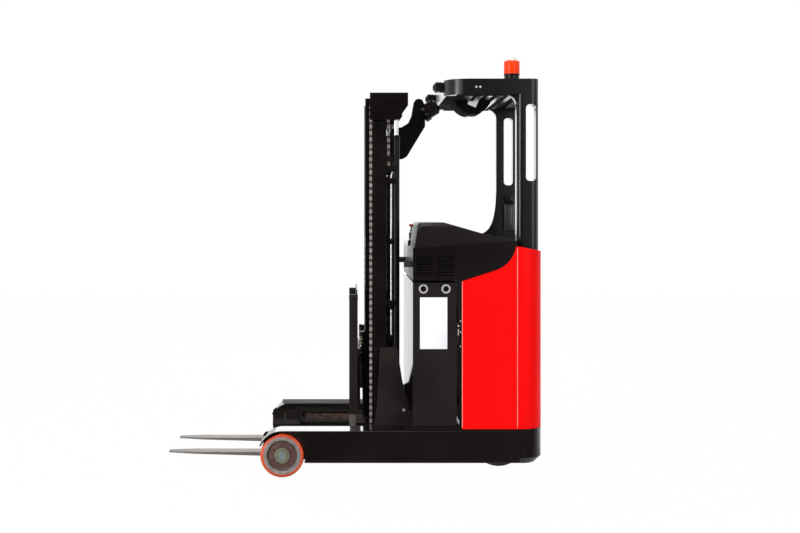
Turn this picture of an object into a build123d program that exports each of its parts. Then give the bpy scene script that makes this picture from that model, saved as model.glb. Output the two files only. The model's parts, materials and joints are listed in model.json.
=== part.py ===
"""Stand-on reach truck, millimetres, +Z up, forks along -X, left side at -Y.

The origin is on the floor, half way along the truck's length and half way across its width.
Lengths are set out from the rear bumper, heights from the floor, widths from the two sides inwards.
"""

import os

from build123d import *

# Overall sizes
OVERALL_LENGTH = 2168
OVERALL_WIDTH = 1100
GUARD_HEIGHT = 2262
MAST_HEIGHT = 2030
REAR_X = OVERALL_LENGTH / 2
HALF_WIDTH = OVERALL_WIDTH / 2

# Clearances: turning fit, roller in its channel, free motion, cylinder gland length
RUN_GAP = 0.3
ROLLER_GAP = 0.5
MOVE_GAP = 5
GLAND = 30

# Load wheels and the two support legs
WHEEL_BASE = 1263
LEG_WIDTH = 155
LEG_INNER_Y = HALF_WIDTH - LEG_WIDTH
DRIVE_SETBACK = LEG_INNER_Y / 2 + 18.5
DRIVE_X = REAR_X - DRIVE_SETBACK
LOAD_AXLE_X = DRIVE_X - WHEEL_BASE
LOAD_WHEEL_R = 125
LOAD_WHEEL_W = 84
LOAD_HUB_R = 98
HUB_DISH = 16
HUB_RIM = 20
LOAD_AXLE_R = 20
AXLE_HEAD_R = 32
AXLE_HEAD = 6
ARCH_R = LOAD_WHEEL_R + 6
LEG_WALL = 10
NOSE_R = ARCH_R + LEG_WALL
LEG_TOP = LOAD_WHEEL_R + NOSE_R
LEG_BOTTOM = 85
NOSE_STRIP = 54
WEB_NOSE = 98
WELL_Y = HALF_WIDTH - LOAD_WHEEL_W - 14
LOAD_WHEEL_Y = WELL_Y + 6 + LOAD_WHEEL_W / 2
BUMPER_LENGTH = 134
LEG_REAR_X = REAR_X - BUMPER_LENGTH
RAIL_DEPTH = 42
RAIL_LOW = 122
RAIL_HIGH = 214
RAIL_START = 65
RAIL_FRONT_X = LOAD_AXLE_X + RAIL_START

# Base between and behind the legs
BASE_TOP = LEG_TOP + 10
BASE_BOTTOM = 78
DECK_LENGTH = 450
DECK_THICK = 76
BASE_FRONT_X = LEG_REAR_X - DECK_LENGTH
BASE_CORNER_R = 120
BUMPER_CHAMFER = 36
TRAY_INSET = 8
TRAY_THICK = 20
STOP_LENGTH = 42
STOP_THICK = 24
STOP_HIGH = 96

# Body panels around the rear compartment
CORNER_LENGTH = 150
PANEL_LENGTH = 313
PANEL_THICK = 12
CORNER_R = 120
PANEL_SPLIT_X = REAR_X - CORNER_LENGTH
PANEL_FRONT_X = PANEL_SPLIT_X - PANEL_LENGTH
PARTITION_Y = 0
PARTITION_THICK = 18
FLOOR_MAT = 14
MAT_GAP = 4
BULKHEAD_THICK = 15

# Battery under the front of the console
CONSOLE_LENGTH = 277
BATTERY_FRONT_X = PANEL_FRONT_X - CONSOLE_LENGTH
BATTERY_LENGTH = CONSOLE_LENGTH - BULKHEAD_THICK - 14
BATTERY_BOTTOM = BASE_TOP + TRAY_THICK
BATTERY_HIGH = 808
BATTERY_TOP = BATTERY_BOTTOM + BATTERY_HIGH
BATTERY_HALF_Y = HALF_WIDTH - PANEL_THICK
TRAY_FRONT_X = BATTERY_FRONT_X - 6
EYE_R = 17
EYE_DROP = 36
EYE_SPAN = 128
EYE_DEPTH = 24

# Console above the battery and along the left side
CONSOLE_BOTTOM = BATTERY_TOP + 11
CONSOLE_HIGH = 183
CONSOLE_CREASE = CONSOLE_BOTTOM + CONSOLE_HIGH
CREASE_RISE = 0.062
CONSOLE_WALL = 18
COWL_HIGH = 146
COWL_SLOPE = 62
COWL_LENGTH = 168
COWL_FALL = 215
CONSOLE_TOP = CONSOLE_CREASE + COWL_HIGH
COWL_FRONT_X = BATTERY_FRONT_X + 8
COWL_EDGE = (30, 22)
PANEL_LOW_Z = CONSOLE_BOTTOM - 3
PANEL_HIGH_Z = CONSOLE_CREASE + 12
SWEEP_RUN = (190, 62)
SWEEP_LIP = 8
REAR_DROP = 30
REAR_HIGH_Z = PANEL_HIGH_Z - REAR_DROP
COVER_DROP = 10
COVER_THICK = 14
DASH_HIGH = 40
DASH_Z = CONSOLE_CREASE + DASH_HIGH
DASH_EDGE = 12
LOUVRE_ROWS = 8
LOUVRE_PITCH = 15
LOUVRE_SLOT = 7
LOUVRE_WIDE = 104
LOUVRE_GAP = 17
LOUVRE_INSET = 12
LOUVRE_RISE = 27

# Controls, pads and trim of the operator's place
POD_LENGTH = 137
POD_HALF_Y = 85
POD_DEPTH = 86
COLUMN_R = 18
STEER_WHEEL_X = PANEL_FRONT_X + 67
STEER_WHEEL_Y = 120
STEER_WHEEL_Z = DASH_Z + 14
STEER_WHEEL_R = 108
STEER_RIM_R = 11
SPOKE_WIDE = 28
KNOB_R = 13
KNOB_HIGH = 28
STOP_X = BATTERY_FRONT_X + 28
STOP_Y = 60
STOP_HEAD_R = 19
STOP_HEAD_HIGH = 18
STOP_STEM_HIGH = 26
STOP_BOX_HIGH = 50
LEVER_YS = (300, 350, 400)
LEVER_SETBACK = 50
LEVER_HIGH = 34
LEVER_KNOB_R = 12
LEVER_KNOB_HIGH = 18
PEDAL_YS = (70, 190)
PEDAL_SIZE = (110, 80, 18)
PEDAL_SETBACK = 79
BUFFER_R = 18
BUFFER_LENGTH = 40
BUFFER_RISE = 85

# Overhead guard
PILLAR_INSET = 50
PILLAR_WIDE = 80
PILLAR_DEEP = 126
PILLAR_SETBACK = 18
PILLAR_OUT_Y = HALF_WIDTH - PILLAR_INSET
PILLAR_IN_Y = PILLAR_OUT_Y - PILLAR_WIDE
PILLAR_REAR_X = REAR_X - PILLAR_SETBACK
PILLAR_FRONT_X = PILLAR_REAR_X - PILLAR_DEEP
PILLAR_REAR_R = 45
PILLAR_FRONT_R = 32
KNEE_R = 60
SLOT_WIDE = 58
SLOT_HIGH = 436
SLOT_DROP = 146
SLOT_R = 22
ROOF_THICK = 90
ROOF_LENGTH = 410
ROOF_LOW = GUARD_HEIGHT - ROOF_THICK
ROOF_FRONT_X = PILLAR_FRONT_X - ROOF_LENGTH
ROOF_CORNER_R = 130
ROOF_BARS = 5
BAR_WIDE = 26
BAR_HIGH = 40
BELLY_R = 117
BELLY_SETBACK = 197
BELLY_DROP = 78
BELLY_HALF_Y = 130
ROOF_LAMP_SIZE = (52, 75, 54)
ROOF_LAMP_Y = 328
BEACON_SETBACK = 10
BEACON_X = PILLAR_FRONT_X - BEACON_SETBACK
BEACON_Y = PILLAR_WIDE - PILLAR_OUT_Y + 70
BEACON_R = 47
BEACON_SEAT = 14
BEACON_BASE_H = 42
BEACON_LENS_H = 76
BEACON_CAP_H = 18
PAD_RISE = 75
PAD_HIGH = 173
PAD_THICK = 36
FAIRING_HIGH = 336
FAIRING_REACH = 140
FAIRING_INSET = 5

# Drive unit in the left half of the base, swivel castor in the right half
DRIVE_Y = -LEG_INNER_Y / 2
DRIVE_WELL_R = LEG_INNER_Y / 2 - 18
DRIVE_WHEEL_R = DRIVE_WELL_R - 20
DRIVE_WHEEL_W = 110
DRIVE_HUB_R = DRIVE_WHEEL_R * 0.72
DRIVE_AXLE_R = 24
TURRET_WALL = 12
TURRET_TOP = 2 * DRIVE_WHEEL_R + 81
STEER_SHAFT_R = 45
YOKE_PLATE = 30
YOKE_ARM = 18
YOKE_ARM_R = 60
MOTOR_R = 105
MOTOR_HIGH = 300
CASTER_X = DRIVE_X + 32
CASTER_Y = LEG_INNER_Y * 0.62
CASTER_WELL_R = LEG_INNER_Y * 0.35
CASTER_R = CASTER_WELL_R * 0.54
CASTER_W = 34
CASTER_GAP = 28
CASTER_TRAIL = CASTER_WELL_R * 0.32
CASTER_PLATE = 15
CASTER_HEAD = 16
CASTER_HEAD_R = 62
KINGPIN_R = 14
CASTER_AXLE_R = 10

# Reach carriage that rolls in the legs' rails
REACH_TRAVEL = 550
SIDE_PLATE_OUT_Y = LEG_INNER_Y - 11
SIDE_PLATE_IN_Y = SIDE_PLATE_OUT_Y - 24
REACH_ROLLER_R = (RAIL_HIGH - RAIL_LOW) / 2 - ROLLER_GAP
REACH_ROLLER_Z = (RAIL_HIGH + RAIL_LOW) / 2
REACH_ROLLER_SPAN = 160
CARRIAGE_REAR_X = BASE_FRONT_X - 30
REACH_ROLLER_X = CARRIAGE_REAR_X - 40
CARRIAGE_LOW = 104
CARRIAGE_STEP_Z = RAIL_HIGH + 36
CARRIAGE_BLOCK_Z = 370
CARRIAGE_BLOCK_X = BATTERY_FRONT_X - 14
GUSSET_REACH = 91
GUSSET_Z = 527
SIDE_PLATE_TOP = 718
BEAM_LENGTH = 40
FOOT_THICK = 26
REACH_BARREL_R = 30
REACH_ROD_R = 18
REACH_CYL_Y = 46
REACH_CYL_Z = 150
BARREL_FRONT_X = CARRIAGE_REAR_X + 10
BARREL_REAR_X = REAR_X - 20

# Mast stages, nested from the outside in
MAST_SETBACK = 143
MAST_DEPTH = 74
FLANGE = 14
WEB = 12
MIDDLE_STEP = 19
INNER_STEP = 29
STAGE_WIDE = 42
STAGE_GAP = 6
OUTER_REAR_X = BATTERY_FRONT_X - MAST_SETBACK
OUTER_X = (OUTER_REAR_X - MAST_DEPTH, OUTER_REAR_X)
MIDDLE_X = (OUTER_X[0] - MIDDLE_STEP, OUTER_X[1] - MIDDLE_STEP)
INNER_X = (MIDDLE_X[0] - INNER_STEP, MIDDLE_X[1] - INNER_STEP)
OUTER_WIDE = 60
OUTER_Y = (SIDE_PLATE_IN_Y - OUTER_WIDE, SIDE_PLATE_IN_Y)
MIDDLE_Y = (OUTER_Y[0] - STAGE_GAP - STAGE_WIDE, OUTER_Y[0] - STAGE_GAP)
INNER_Y = (MIDDLE_Y[0] - STAGE_GAP - STAGE_WIDE, MIDDLE_Y[0] - STAGE_GAP)
OUTER_Z = (CARRIAGE_LOW, MAST_HEIGHT)
MIDDLE_Z = (CARRIAGE_LOW + 8, MAST_HEIGHT + 60)
INNER_Z = (CARRIAGE_LOW + 16, MAST_HEIGHT + 145)
STAGE_LIFT = MAST_HEIGHT - 680
TIE_THICK = 13
FOOT_TIE_HIGH = 118
MID_TIE_HIGH = 80
HEAD_TIE_HIGH = 125
MID_TIE_Z = MAST_HEIGHT * 0.46
ROLLER_R = MAST_DEPTH / 2 - FLANGE - ROLLER_GAP
ROLLER_RISE = 80
ROLLER_SPAN = 420
LIFT_CYL_X = OUTER_X[1] + 57
LIFT_CYL_Y = OUTER_Y[0] + 30
LIFT_BARREL_R = 20
LIFT_ROD_R = 14
LIFT_BARREL_TOP = MAST_HEIGHT - 80
LIFT_ROD_LOW = MAST_HEIGHT - STAGE_LIFT - 200
CLAMP_HIGH = 32
CLAMP_LEVELS = (0.1, 0.48, 0.83)
HEAD_LOW = MAST_HEIGHT + 8
HEAD_HIGH = 158
HEAD_LENGTH = 222
HEAD_CUT = (60, 84)
HEAD_PLATE = 8
HEAD_IN_Y = OUTER_Y[1] + STAGE_GAP
HEAD_FRONT_X = OUTER_X[0] - 23
HEAD_AXLE_R = 16
ROD_BLOCK = 40

# Chains: stage chain over the head sheave, carriage chain over the crosshead sheaves
LINK_PITCH = 38.1
LINK_LENGTH = 29
LINK_HIGH = 15
LINK_PLATE = 4
CHAIN_W = 24
CHAIN_T = 16
STAGE_CHAIN_Y = OUTER_Y[0] + 26
STAGE_FRONT_X = OUTER_X[0] - 17
STAGE_REAR_X = OUTER_X[1] + 12
STAGE_SHEAVE_X = (STAGE_FRONT_X + STAGE_REAR_X) / 2
STAGE_SHEAVE_Z = MIDDLE_Z[1] + 20
STAGE_SHEAVE_R = (STAGE_REAR_X - STAGE_FRONT_X - CHAIN_T) / 2
CHAIN_ANCHOR_Z = MAST_HEIGHT - 254
STAGE_CHAIN_LOW = 240
ANCHOR_HIGH = 64
CHEEK = 6
FREE_LIFT = STAGE_LIFT
FREE_CYL_X = (INNER_X[0] + INNER_X[1]) / 2 - 2
FREE_BARREL_R = 30
FREE_BARREL_TOP = MAST_HEIGHT * 125 / 203
FREE_ROD_R = 21
FREE_ROD_LOW = FREE_BARREL_TOP * 0.384
FREE_FOOT = 24
CROSSHEAD_Z = FREE_BARREL_TOP + 80
CROSSHEAD_HIGH = 50
CROSSHEAD_LENGTH = 56
FREE_SHEAVE_R = 25
FREE_AXLE_R = 12
FREE_CHAIN_T = 12
FREE_CHAIN_W = 22

# Fork carriage and the tilting fork frame
CARRIAGE_PLATE_Y = (INNER_Y[0] - STAGE_GAP - 20, INNER_Y[0] - STAGE_GAP)
FREE_CHAIN_Y = CARRIAGE_PLATE_Y[0] / 2
CARRIAGE_Z = (300, 690)
CARRIAGE_PLATE_X = (INNER_X[0] - 13, INNER_X[1] - 17)
CARRIAGE_TOP_X = INNER_X[0] - 21
LOW_PLATE = 6
HIGH_PLATE = 12
TILT_X = INNER_X[0] - 4
TILT_Z = CARRIAGE_Z[1] - 50
HORN_LOW = TILT_Z - 95
HORN_TOP = CARRIAGE_Z[1] + 105
TILT_PIN_R = 12
TILT_EYE_R = 22
LUG_WIDE = 24
LUG_GAP = 4
LUG_Y = (CARRIAGE_PLATE_Y[0] - LUG_GAP - LUG_WIDE, CARRIAGE_PLATE_Y[0] - LUG_GAP)
TILT_CYL_Y = CARRIAGE_PLATE_Y[1] + 28
TILT_CYL_X = INNER_X[0] - 23
TILT_CYL_R = 17
TILT_CYL_LENGTH = 154
TILT_ROD_R = 8
TILT_ROD_HIGH = 18
TILT_HEAD_X = INNER_X[0] - 20
TILT_HEAD_R = 14
TILT_HEAD_HIGH = 80
FORK_SHANK = 38
FORK_BAR_THICK = 26
FORK_BAR_HIGH = 60
FORK_REAR_X = INNER_X[0] - 29
FORK_BAR_X = (FORK_REAR_X - FORK_BAR_THICK, FORK_REAR_X)
FORK_FACE_X = FORK_BAR_X[0] - FORK_SHANK
FORK_LENGTH = REAR_X + FORK_FACE_X
FORK_WIDE = 100
FORK_TIP_WIDE = 56
FORK_TIP_LENGTH = 150
FORK_TAPER = 0.12
FORK_HEEL = 35
FORK_HEEL_R = 22
FORK_TIP = 8
FORK_TOP = 88
FORK_Y = CARRIAGE_PLATE_Y[1] + 12
FORK_BAR_HALF_Y = OUTER_Y[0]
LOW_BAR_Z = (CARRIAGE_Z[0] + 40, CARRIAGE_Z[0] + 40 + FORK_BAR_HIGH)
HIGH_BAR_Z = (TILT_Z + 4, TILT_Z + FORK_BAR_HIGH)
SHANK_TOP = HIGH_BAR_Z[1] + 18
BACKREST_RISE = 330
BACKREST_TOP = SHANK_TOP + BACKREST_RISE
BACKREST_LOW = CARRIAGE_Z[0] + 20
BACKREST_SIDE = 20
BACKREST_RAIL = 28
BACKREST_X = (FORK_BAR_X[0] - 40, FORK_BAR_X[0] + 10)
SLAT_WIDE = 18
SLAT_THICK = 8
SLAT_PLACES = (-0.51, -0.17, 0.17, 0.51)

# Lamp arm: outline behind the outer mast, as distance behind its tie and height above the mast
ARM_HALF_Y = 26
ARM_OUTLINE = (
    (0, -202),
    (0, -60),
    (36, -12),
    (89, -8),
    (131, 18),
    (150, 60),
    (164, 144),
    (176, 162),
    (193, 168),
    (216, 162),
    (236, 120),
    (234, -3),
    (124, -185),
    (98, -202),
)
ARM_X = OUTER_X[1] + TIE_THICK
LAMP_X = ARM_X + 268
LAMP_Z = MAST_HEIGHT + 94
LAMP_SIZE = (86, 110, 80)
LAMP_TILT = 37
KNUCKLE_R = 24
KNUCKLE_DROP = 64


def block(x, y, z, mode=Mode.ADD):
    """A box between two X, two Y and two Z values, in the part being built."""
    with Locations(((x[0] + x[1]) / 2, (y[0] + y[1]) / 2, (z[0] + z[1]) / 2)):
        Box(abs(x[1] - x[0]), abs(y[1] - y[0]), abs(z[1] - z[0]), mode=mode)


def rod(axis, a, b, ends, radius, mode=Mode.ADD):
    """A cylinder along X, Y or Z between two ends, with its axis at a and b on the other two axes."""
    mid = (ends[0] + ends[1]) / 2
    spot = {"x": (mid, a, b), "y": (a, mid, b), "z": (a, b, mid)}[axis]
    turn = {"x": (0, 90, 0), "y": (90, 0, 0), "z": (0, 0, 0)}[axis]
    with Locations(Location(spot, turn)):
        Cylinder(radius, abs(ends[1] - ends[0]), mode=mode)


def both(span):
    """A half-width range on the left and on the right side."""
    return ((-span[1], -span[0]), (span[0], span[1]))


def about(middle, length):
    """A range of the given length around its middle."""
    return (middle - length / 2, middle + length / 2)


def side_plane(y):
    """The XZ plane at a Y value, with sketch X along X, sketch Y along Z and its normal along -Y."""
    return Plane(origin=(0, y, 0), x_dir=(1, 0, 0), z_dir=(0, -1, 0))


def crease_z(x):
    """Height of the console's crease line at an X value; it rises gently to the rear."""
    return CONSOLE_CREASE + (x - BATTERY_FRONT_X) * CREASE_RISE


def save(builder, name):
    """Labels a finished part and writes it as one STEP file."""
    builder.part.label = name
    export_step(builder.part, f"parts/{name}.step")


os.makedirs("parts", exist_ok=True)

# Support legs: box beams with a round nose over the wheel and a roller rail on the inner face
with BuildPart() as support_legs:
    nose_x = LOAD_AXLE_X - NOSE_R
    with BuildSketch(side_plane(HALF_WIDTH)):
        with BuildLine():
            Polyline(
                (LOAD_AXLE_X, LEG_TOP),
                (LEG_REAR_X, LEG_TOP),
                (LEG_REAR_X, LEG_BOTTOM),
                (nose_x, LEG_BOTTOM),
                (nose_x, LOAD_WHEEL_R),
            )
            RadiusArc((nose_x, LOAD_WHEEL_R), (LOAD_AXLE_X, LEG_TOP), NOSE_R)
        make_face()
    extrude(amount=LEG_WIDTH)
    rod("y", LOAD_AXLE_X, LOAD_WHEEL_R, (WELL_Y, HALF_WIDTH), ARCH_R, Mode.SUBTRACT)
    nose_low = (LEG_BOTTOM, LOAD_WHEEL_R + NOSE_STRIP)
    block((nose_x, LOAD_AXLE_X), (WELL_Y, HALF_WIDTH), nose_low, Mode.SUBTRACT)
    web_nose = (nose_x, LOAD_AXLE_X - WEB_NOSE)
    block(web_nose, (LEG_INNER_Y, WELL_Y), (LEG_BOTTOM, LEG_TOP), Mode.SUBTRACT)
    rail_y = (LEG_INNER_Y, LEG_INNER_Y + RAIL_DEPTH)
    block((RAIL_FRONT_X, BASE_FRONT_X), rail_y, (RAIL_LOW, RAIL_HIGH), Mode.SUBTRACT)
    rod("y", LOAD_AXLE_X, LOAD_WHEEL_R, (LEG_INNER_Y, WELL_Y), LOAD_AXLE_R, Mode.SUBTRACT)
    mirror(about=Plane.XZ)
save(support_legs, "support_legs")

# Load wheel axles: a headed pin pressed in the leg's web, with the wheel turning on it
with BuildPart() as load_axles:
    axle_out = LOAD_WHEEL_Y + LOAD_WHEEL_W / 2 - HUB_DISH / 4
    for side in (-1, 1):
        rod("y", LOAD_AXLE_X, LOAD_WHEEL_R, (side * LEG_INNER_Y, side * axle_out), LOAD_AXLE_R)
        head = (side * (axle_out - AXLE_HEAD), side * axle_out)
        rod("y", LOAD_AXLE_X, LOAD_WHEEL_R, head, AXLE_HEAD_R)
save(load_axles, "load_axles")

# Load wheels: a turned hub with a dished outer face, and its urethane tyre
for side, name in ((-1, "left"), (1, "right")):
    wheel_in = side * (LOAD_WHEEL_Y - LOAD_WHEEL_W / 2)
    wheel_out = side * (LOAD_WHEEL_Y + LOAD_WHEEL_W / 2)
    with BuildPart() as load_hub:
        rod("y", LOAD_AXLE_X, LOAD_WHEEL_R, (wheel_in, wheel_out), LOAD_HUB_R)
        dish = (wheel_out - side * HUB_DISH, wheel_out)
        rod("y", LOAD_AXLE_X, LOAD_WHEEL_R, dish, LOAD_HUB_R - HUB_RIM, Mode.SUBTRACT)
        rod("y", LOAD_AXLE_X, LOAD_WHEEL_R, (wheel_in, wheel_out), LOAD_AXLE_R + RUN_GAP, Mode.SUBTRACT)
    save(load_hub, f"load_hub_{name}")
    with BuildPart() as load_tyre:
        rod("y", LOAD_AXLE_X, LOAD_WHEEL_R, (wheel_in, wheel_out), LOAD_WHEEL_R)
        chamfer(load_tyre.edges().filter_by(GeomType.CIRCLE), 5)
        rod("y", LOAD_AXLE_X, LOAD_WHEEL_R, (wheel_in, wheel_out), LOAD_HUB_R, Mode.SUBTRACT)
    save(load_tyre, f"load_tyre_{name}")

# Base frame: rear bumper, deck between the legs, battery tray and battery stops
with BuildPart() as base_frame:
    bend_x = REAR_X - BASE_CORNER_R
    bend_y = HALF_WIDTH - BASE_CORNER_R
    with BuildSketch(Plane.XY.offset(BASE_BOTTOM)):
        with BuildLine():
            Polyline(
                (bend_x, HALF_WIDTH),
                (LEG_REAR_X, HALF_WIDTH),
                (LEG_REAR_X, -HALF_WIDTH),
                (bend_x, -HALF_WIDTH),
            )
            RadiusArc((bend_x, -HALF_WIDTH), (REAR_X, -bend_y), -BASE_CORNER_R)
            Line((REAR_X, -bend_y), (REAR_X, bend_y))
            RadiusArc((REAR_X, bend_y), (bend_x, HALF_WIDTH), -BASE_CORNER_R)
        make_face()
    extrude(amount=BASE_TOP - BASE_BOTTOM)
    low_edges = base_frame.faces().sort_by(Axis.Z)[0].edges()
    rear_edges = low_edges.filter_by(lambda e: e.center().X > bend_x and abs(e.center().Y) < HALF_WIDTH - 1)
    chamfer(rear_edges, BUMPER_CHAMFER)
    block((BASE_FRONT_X, LEG_REAR_X), (-LEG_INNER_Y, LEG_INNER_Y), (BASE_TOP - DECK_THICK, BASE_TOP))
    deck_y = HALF_WIDTH - TRAY_INSET
    block((TRAY_FRONT_X, LEG_REAR_X), (-deck_y, deck_y), (LEG_TOP, BASE_TOP))
    block((TRAY_FRONT_X, PANEL_FRONT_X), (-BATTERY_HALF_Y, BATTERY_HALF_Y), (BASE_TOP, BATTERY_BOTTOM))
    rod("z", DRIVE_X, DRIVE_Y, (BASE_BOTTOM, BASE_TOP), DRIVE_WELL_R, Mode.SUBTRACT)
    caster_roof = BASE_TOP - CASTER_PLATE
    rod("z", CASTER_X, CASTER_Y, (BASE_BOTTOM, caster_roof), CASTER_WELL_R, Mode.SUBTRACT)
    rod("z", CASTER_X, CASTER_Y, (BASE_BOTTOM, BASE_TOP), KINGPIN_R + RUN_GAP, Mode.SUBTRACT)
    rod("x", REACH_CYL_Y, REACH_CYL_Z, (LEG_REAR_X, BARREL_REAR_X), REACH_BARREL_R, Mode.SUBTRACT)
    stop_x = (BATTERY_FRONT_X - STOP_LENGTH, BATTERY_FRONT_X - RUN_GAP)
    for stop_y in both((BATTERY_HALF_Y - STOP_THICK, BATTERY_HALF_Y)):
        with BuildSketch(side_plane(stop_y[1])):
            Polygon(
                (stop_x[0], LEG_TOP),
                (stop_x[0], BATTERY_BOTTOM + STOP_HIGH),
                (stop_x[1], BATTERY_BOTTOM + STOP_HIGH * 0.75),
                (stop_x[1], LEG_TOP),
                align=None,
            )
        extrude(amount=STOP_THICK)
save(base_frame, "base_frame")

# Drive turret: a round cover over the steered wheel, with the steering bearing in its top
with BuildPart() as drive_turret:
    rod("z", DRIVE_X, DRIVE_Y, (BASE_TOP, TURRET_TOP), DRIVE_WELL_R + TURRET_WALL)
    rod("z", DRIVE_X, DRIVE_Y, (BASE_TOP, TURRET_TOP - TURRET_WALL), DRIVE_WELL_R, Mode.SUBTRACT)
    rod("z", DRIVE_X, DRIVE_Y, (BASE_TOP, TURRET_TOP), STEER_SHAFT_R + RUN_GAP, Mode.SUBTRACT)
save(drive_turret, "drive_turret")

# Battery case with lifting eyes near its top
with BuildPart() as battery_case:
    battery_x = (BATTERY_FRONT_X, BATTERY_FRONT_X + BATTERY_LENGTH)
    block(battery_x, (-BATTERY_HALF_Y, BATTERY_HALF_Y), (BATTERY_BOTTOM, BATTERY_TOP))
    for side in (-1, 1):
        for eye_x in about(BATTERY_FRONT_X + BATTERY_LENGTH / 2, EYE_SPAN):
            eye_y = (side * (BATTERY_HALF_Y - EYE_DEPTH), side * BATTERY_HALF_Y)
            rod("y", eye_x, BATTERY_TOP - EYE_DROP, eye_y, EYE_R, Mode.SUBTRACT)
save(battery_case, "battery_case")

# Red side panels: flat steel covers with a swept upper edge
for name, panel_y in (("left", PANEL_THICK - HALF_WIDTH), ("right", HALF_WIDTH)):
    with BuildPart() as side_panel:
        with BuildSketch(side_plane(panel_y)):
            with BuildLine():
                low = Line((PANEL_SPLIT_X, BASE_TOP), (PANEL_FRONT_X, BASE_TOP))
                front = Line(low @ 1, (PANEL_FRONT_X, PANEL_LOW_Z))
                rise = Line(front @ 1, (PANEL_FRONT_X + SWEEP_RUN[0], PANEL_LOW_Z + SWEEP_RUN[1]))
                sweep_up = TangentArc(rise @ 1, (PANEL_SPLIT_X - SWEEP_LIP, PANEL_HIGH_Z), tangent=rise % 1)
                top = Line(sweep_up @ 1, (PANEL_SPLIT_X, PANEL_HIGH_Z))
                Line(top @ 1, low @ 0)
            make_face()
        extrude(amount=PANEL_THICK)
    save(side_panel, f"side_panel_{name}")

# Red rear corner panels: the left one closes the drive compartment, the right one frames the step-in opening
for side, name, reach_y in ((-1, "left", PARTITION_Y - PARTITION_THICK), (1, "right", PILLAR_IN_Y)):
    with BuildPart() as rear_corner:
        for inset, mode in ((0, Mode.ADD), (PANEL_THICK, Mode.SUBTRACT)):
            out = side * (HALF_WIDTH - inset)
            rear = REAR_X - inset
            bend = CORNER_R - inset
            split = PANEL_SPLIT_X + RUN_GAP - inset
            end_y = reach_y - side * inset
            with BuildSketch(Plane.XY.offset(BASE_TOP)):
                with BuildLine():
                    Line((split, out), (rear - bend, out))
                    RadiusArc((rear - bend, out), (rear, out - side * bend), side * bend)
                    Line((rear, out - side * bend), (rear, end_y))
                    Line((rear, end_y), (split, end_y))
                    Line((split, end_y), (split, out))
                make_face()
            extrude(amount=PANEL_HIGH_Z - BASE_TOP, mode=mode)
        with BuildSketch(side_plane(HALF_WIDTH)):
            Polygon(
                (PANEL_SPLIT_X, PANEL_HIGH_Z),
                (REAR_X, REAR_HIGH_Z),
                (REAR_X, PANEL_HIGH_Z),
                align=None,
            )
        extrude(amount=OVERALL_WIDTH, mode=Mode.SUBTRACT)
    save(rear_corner, f"rear_corner_{name}")

# Bulkhead between the battery and the rear compartments, which carries the console
with BuildPart() as bulkhead:
    bulkhead_x = (PANEL_FRONT_X - BULKHEAD_THICK, PANEL_FRONT_X)
    bulkhead_top = crease_z(bulkhead_x[0]) - CONSOLE_WALL
    block(bulkhead_x, (-BATTERY_HALF_Y, BATTERY_HALF_Y), (BATTERY_BOTTOM, bulkhead_top))
save(bulkhead, "bulkhead")

# Partition between the drive compartment and the platform
with BuildPart() as partition_wall:
    cover_z = (REAR_HIGH_Z - COVER_DROP - COVER_THICK, REAR_HIGH_Z - COVER_DROP)
    with BuildSketch(side_plane(PARTITION_Y)):
        Polygon(
            (PANEL_FRONT_X, BASE_TOP),
            (REAR_X - PANEL_THICK, BASE_TOP),
            (REAR_X - PANEL_THICK, cover_z[1]),
            (PANEL_SPLIT_X, cover_z[1]),
            (PANEL_SPLIT_X, crease_z(PANEL_SPLIT_X)),
            (PANEL_FRONT_X, crease_z(PANEL_FRONT_X)),
            align=None,
        )
    extrude(amount=PARTITION_THICK)
    turret_z = (BASE_TOP, TURRET_TOP)
    rod("z", DRIVE_X, DRIVE_Y, turret_z, DRIVE_WELL_R + TURRET_WALL, Mode.SUBTRACT)
save(partition_wall, "partition_wall")

# Platform mat where the operator stands
with BuildPart() as platform_mat:
    mat_x = (PANEL_FRONT_X + 10 * MAT_GAP, REAR_X - 8 * MAT_GAP)
    mat_y = (PARTITION_Y + MAT_GAP, PILLAR_IN_Y - MAT_GAP)
    block(mat_x, mat_y, (BASE_TOP, BASE_TOP + FLOOR_MAT))
    fillet(platform_mat.edges().filter_by(Axis.Z), 30)
save(platform_mat, "platform_mat")

# Foot pedals on the platform
with BuildPart() as pedals:
    pedal_z = (BASE_TOP + FLOOR_MAT, BASE_TOP + FLOOR_MAT + PEDAL_SIZE[2])
    for pedal_y in PEDAL_YS:
        pedal_x = PANEL_FRONT_X + PEDAL_SETBACK
        block((pedal_x, pedal_x + PEDAL_SIZE[0]), (pedal_y, pedal_y + PEDAL_SIZE[1]), pedal_z)
save(pedals, "pedals")

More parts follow.
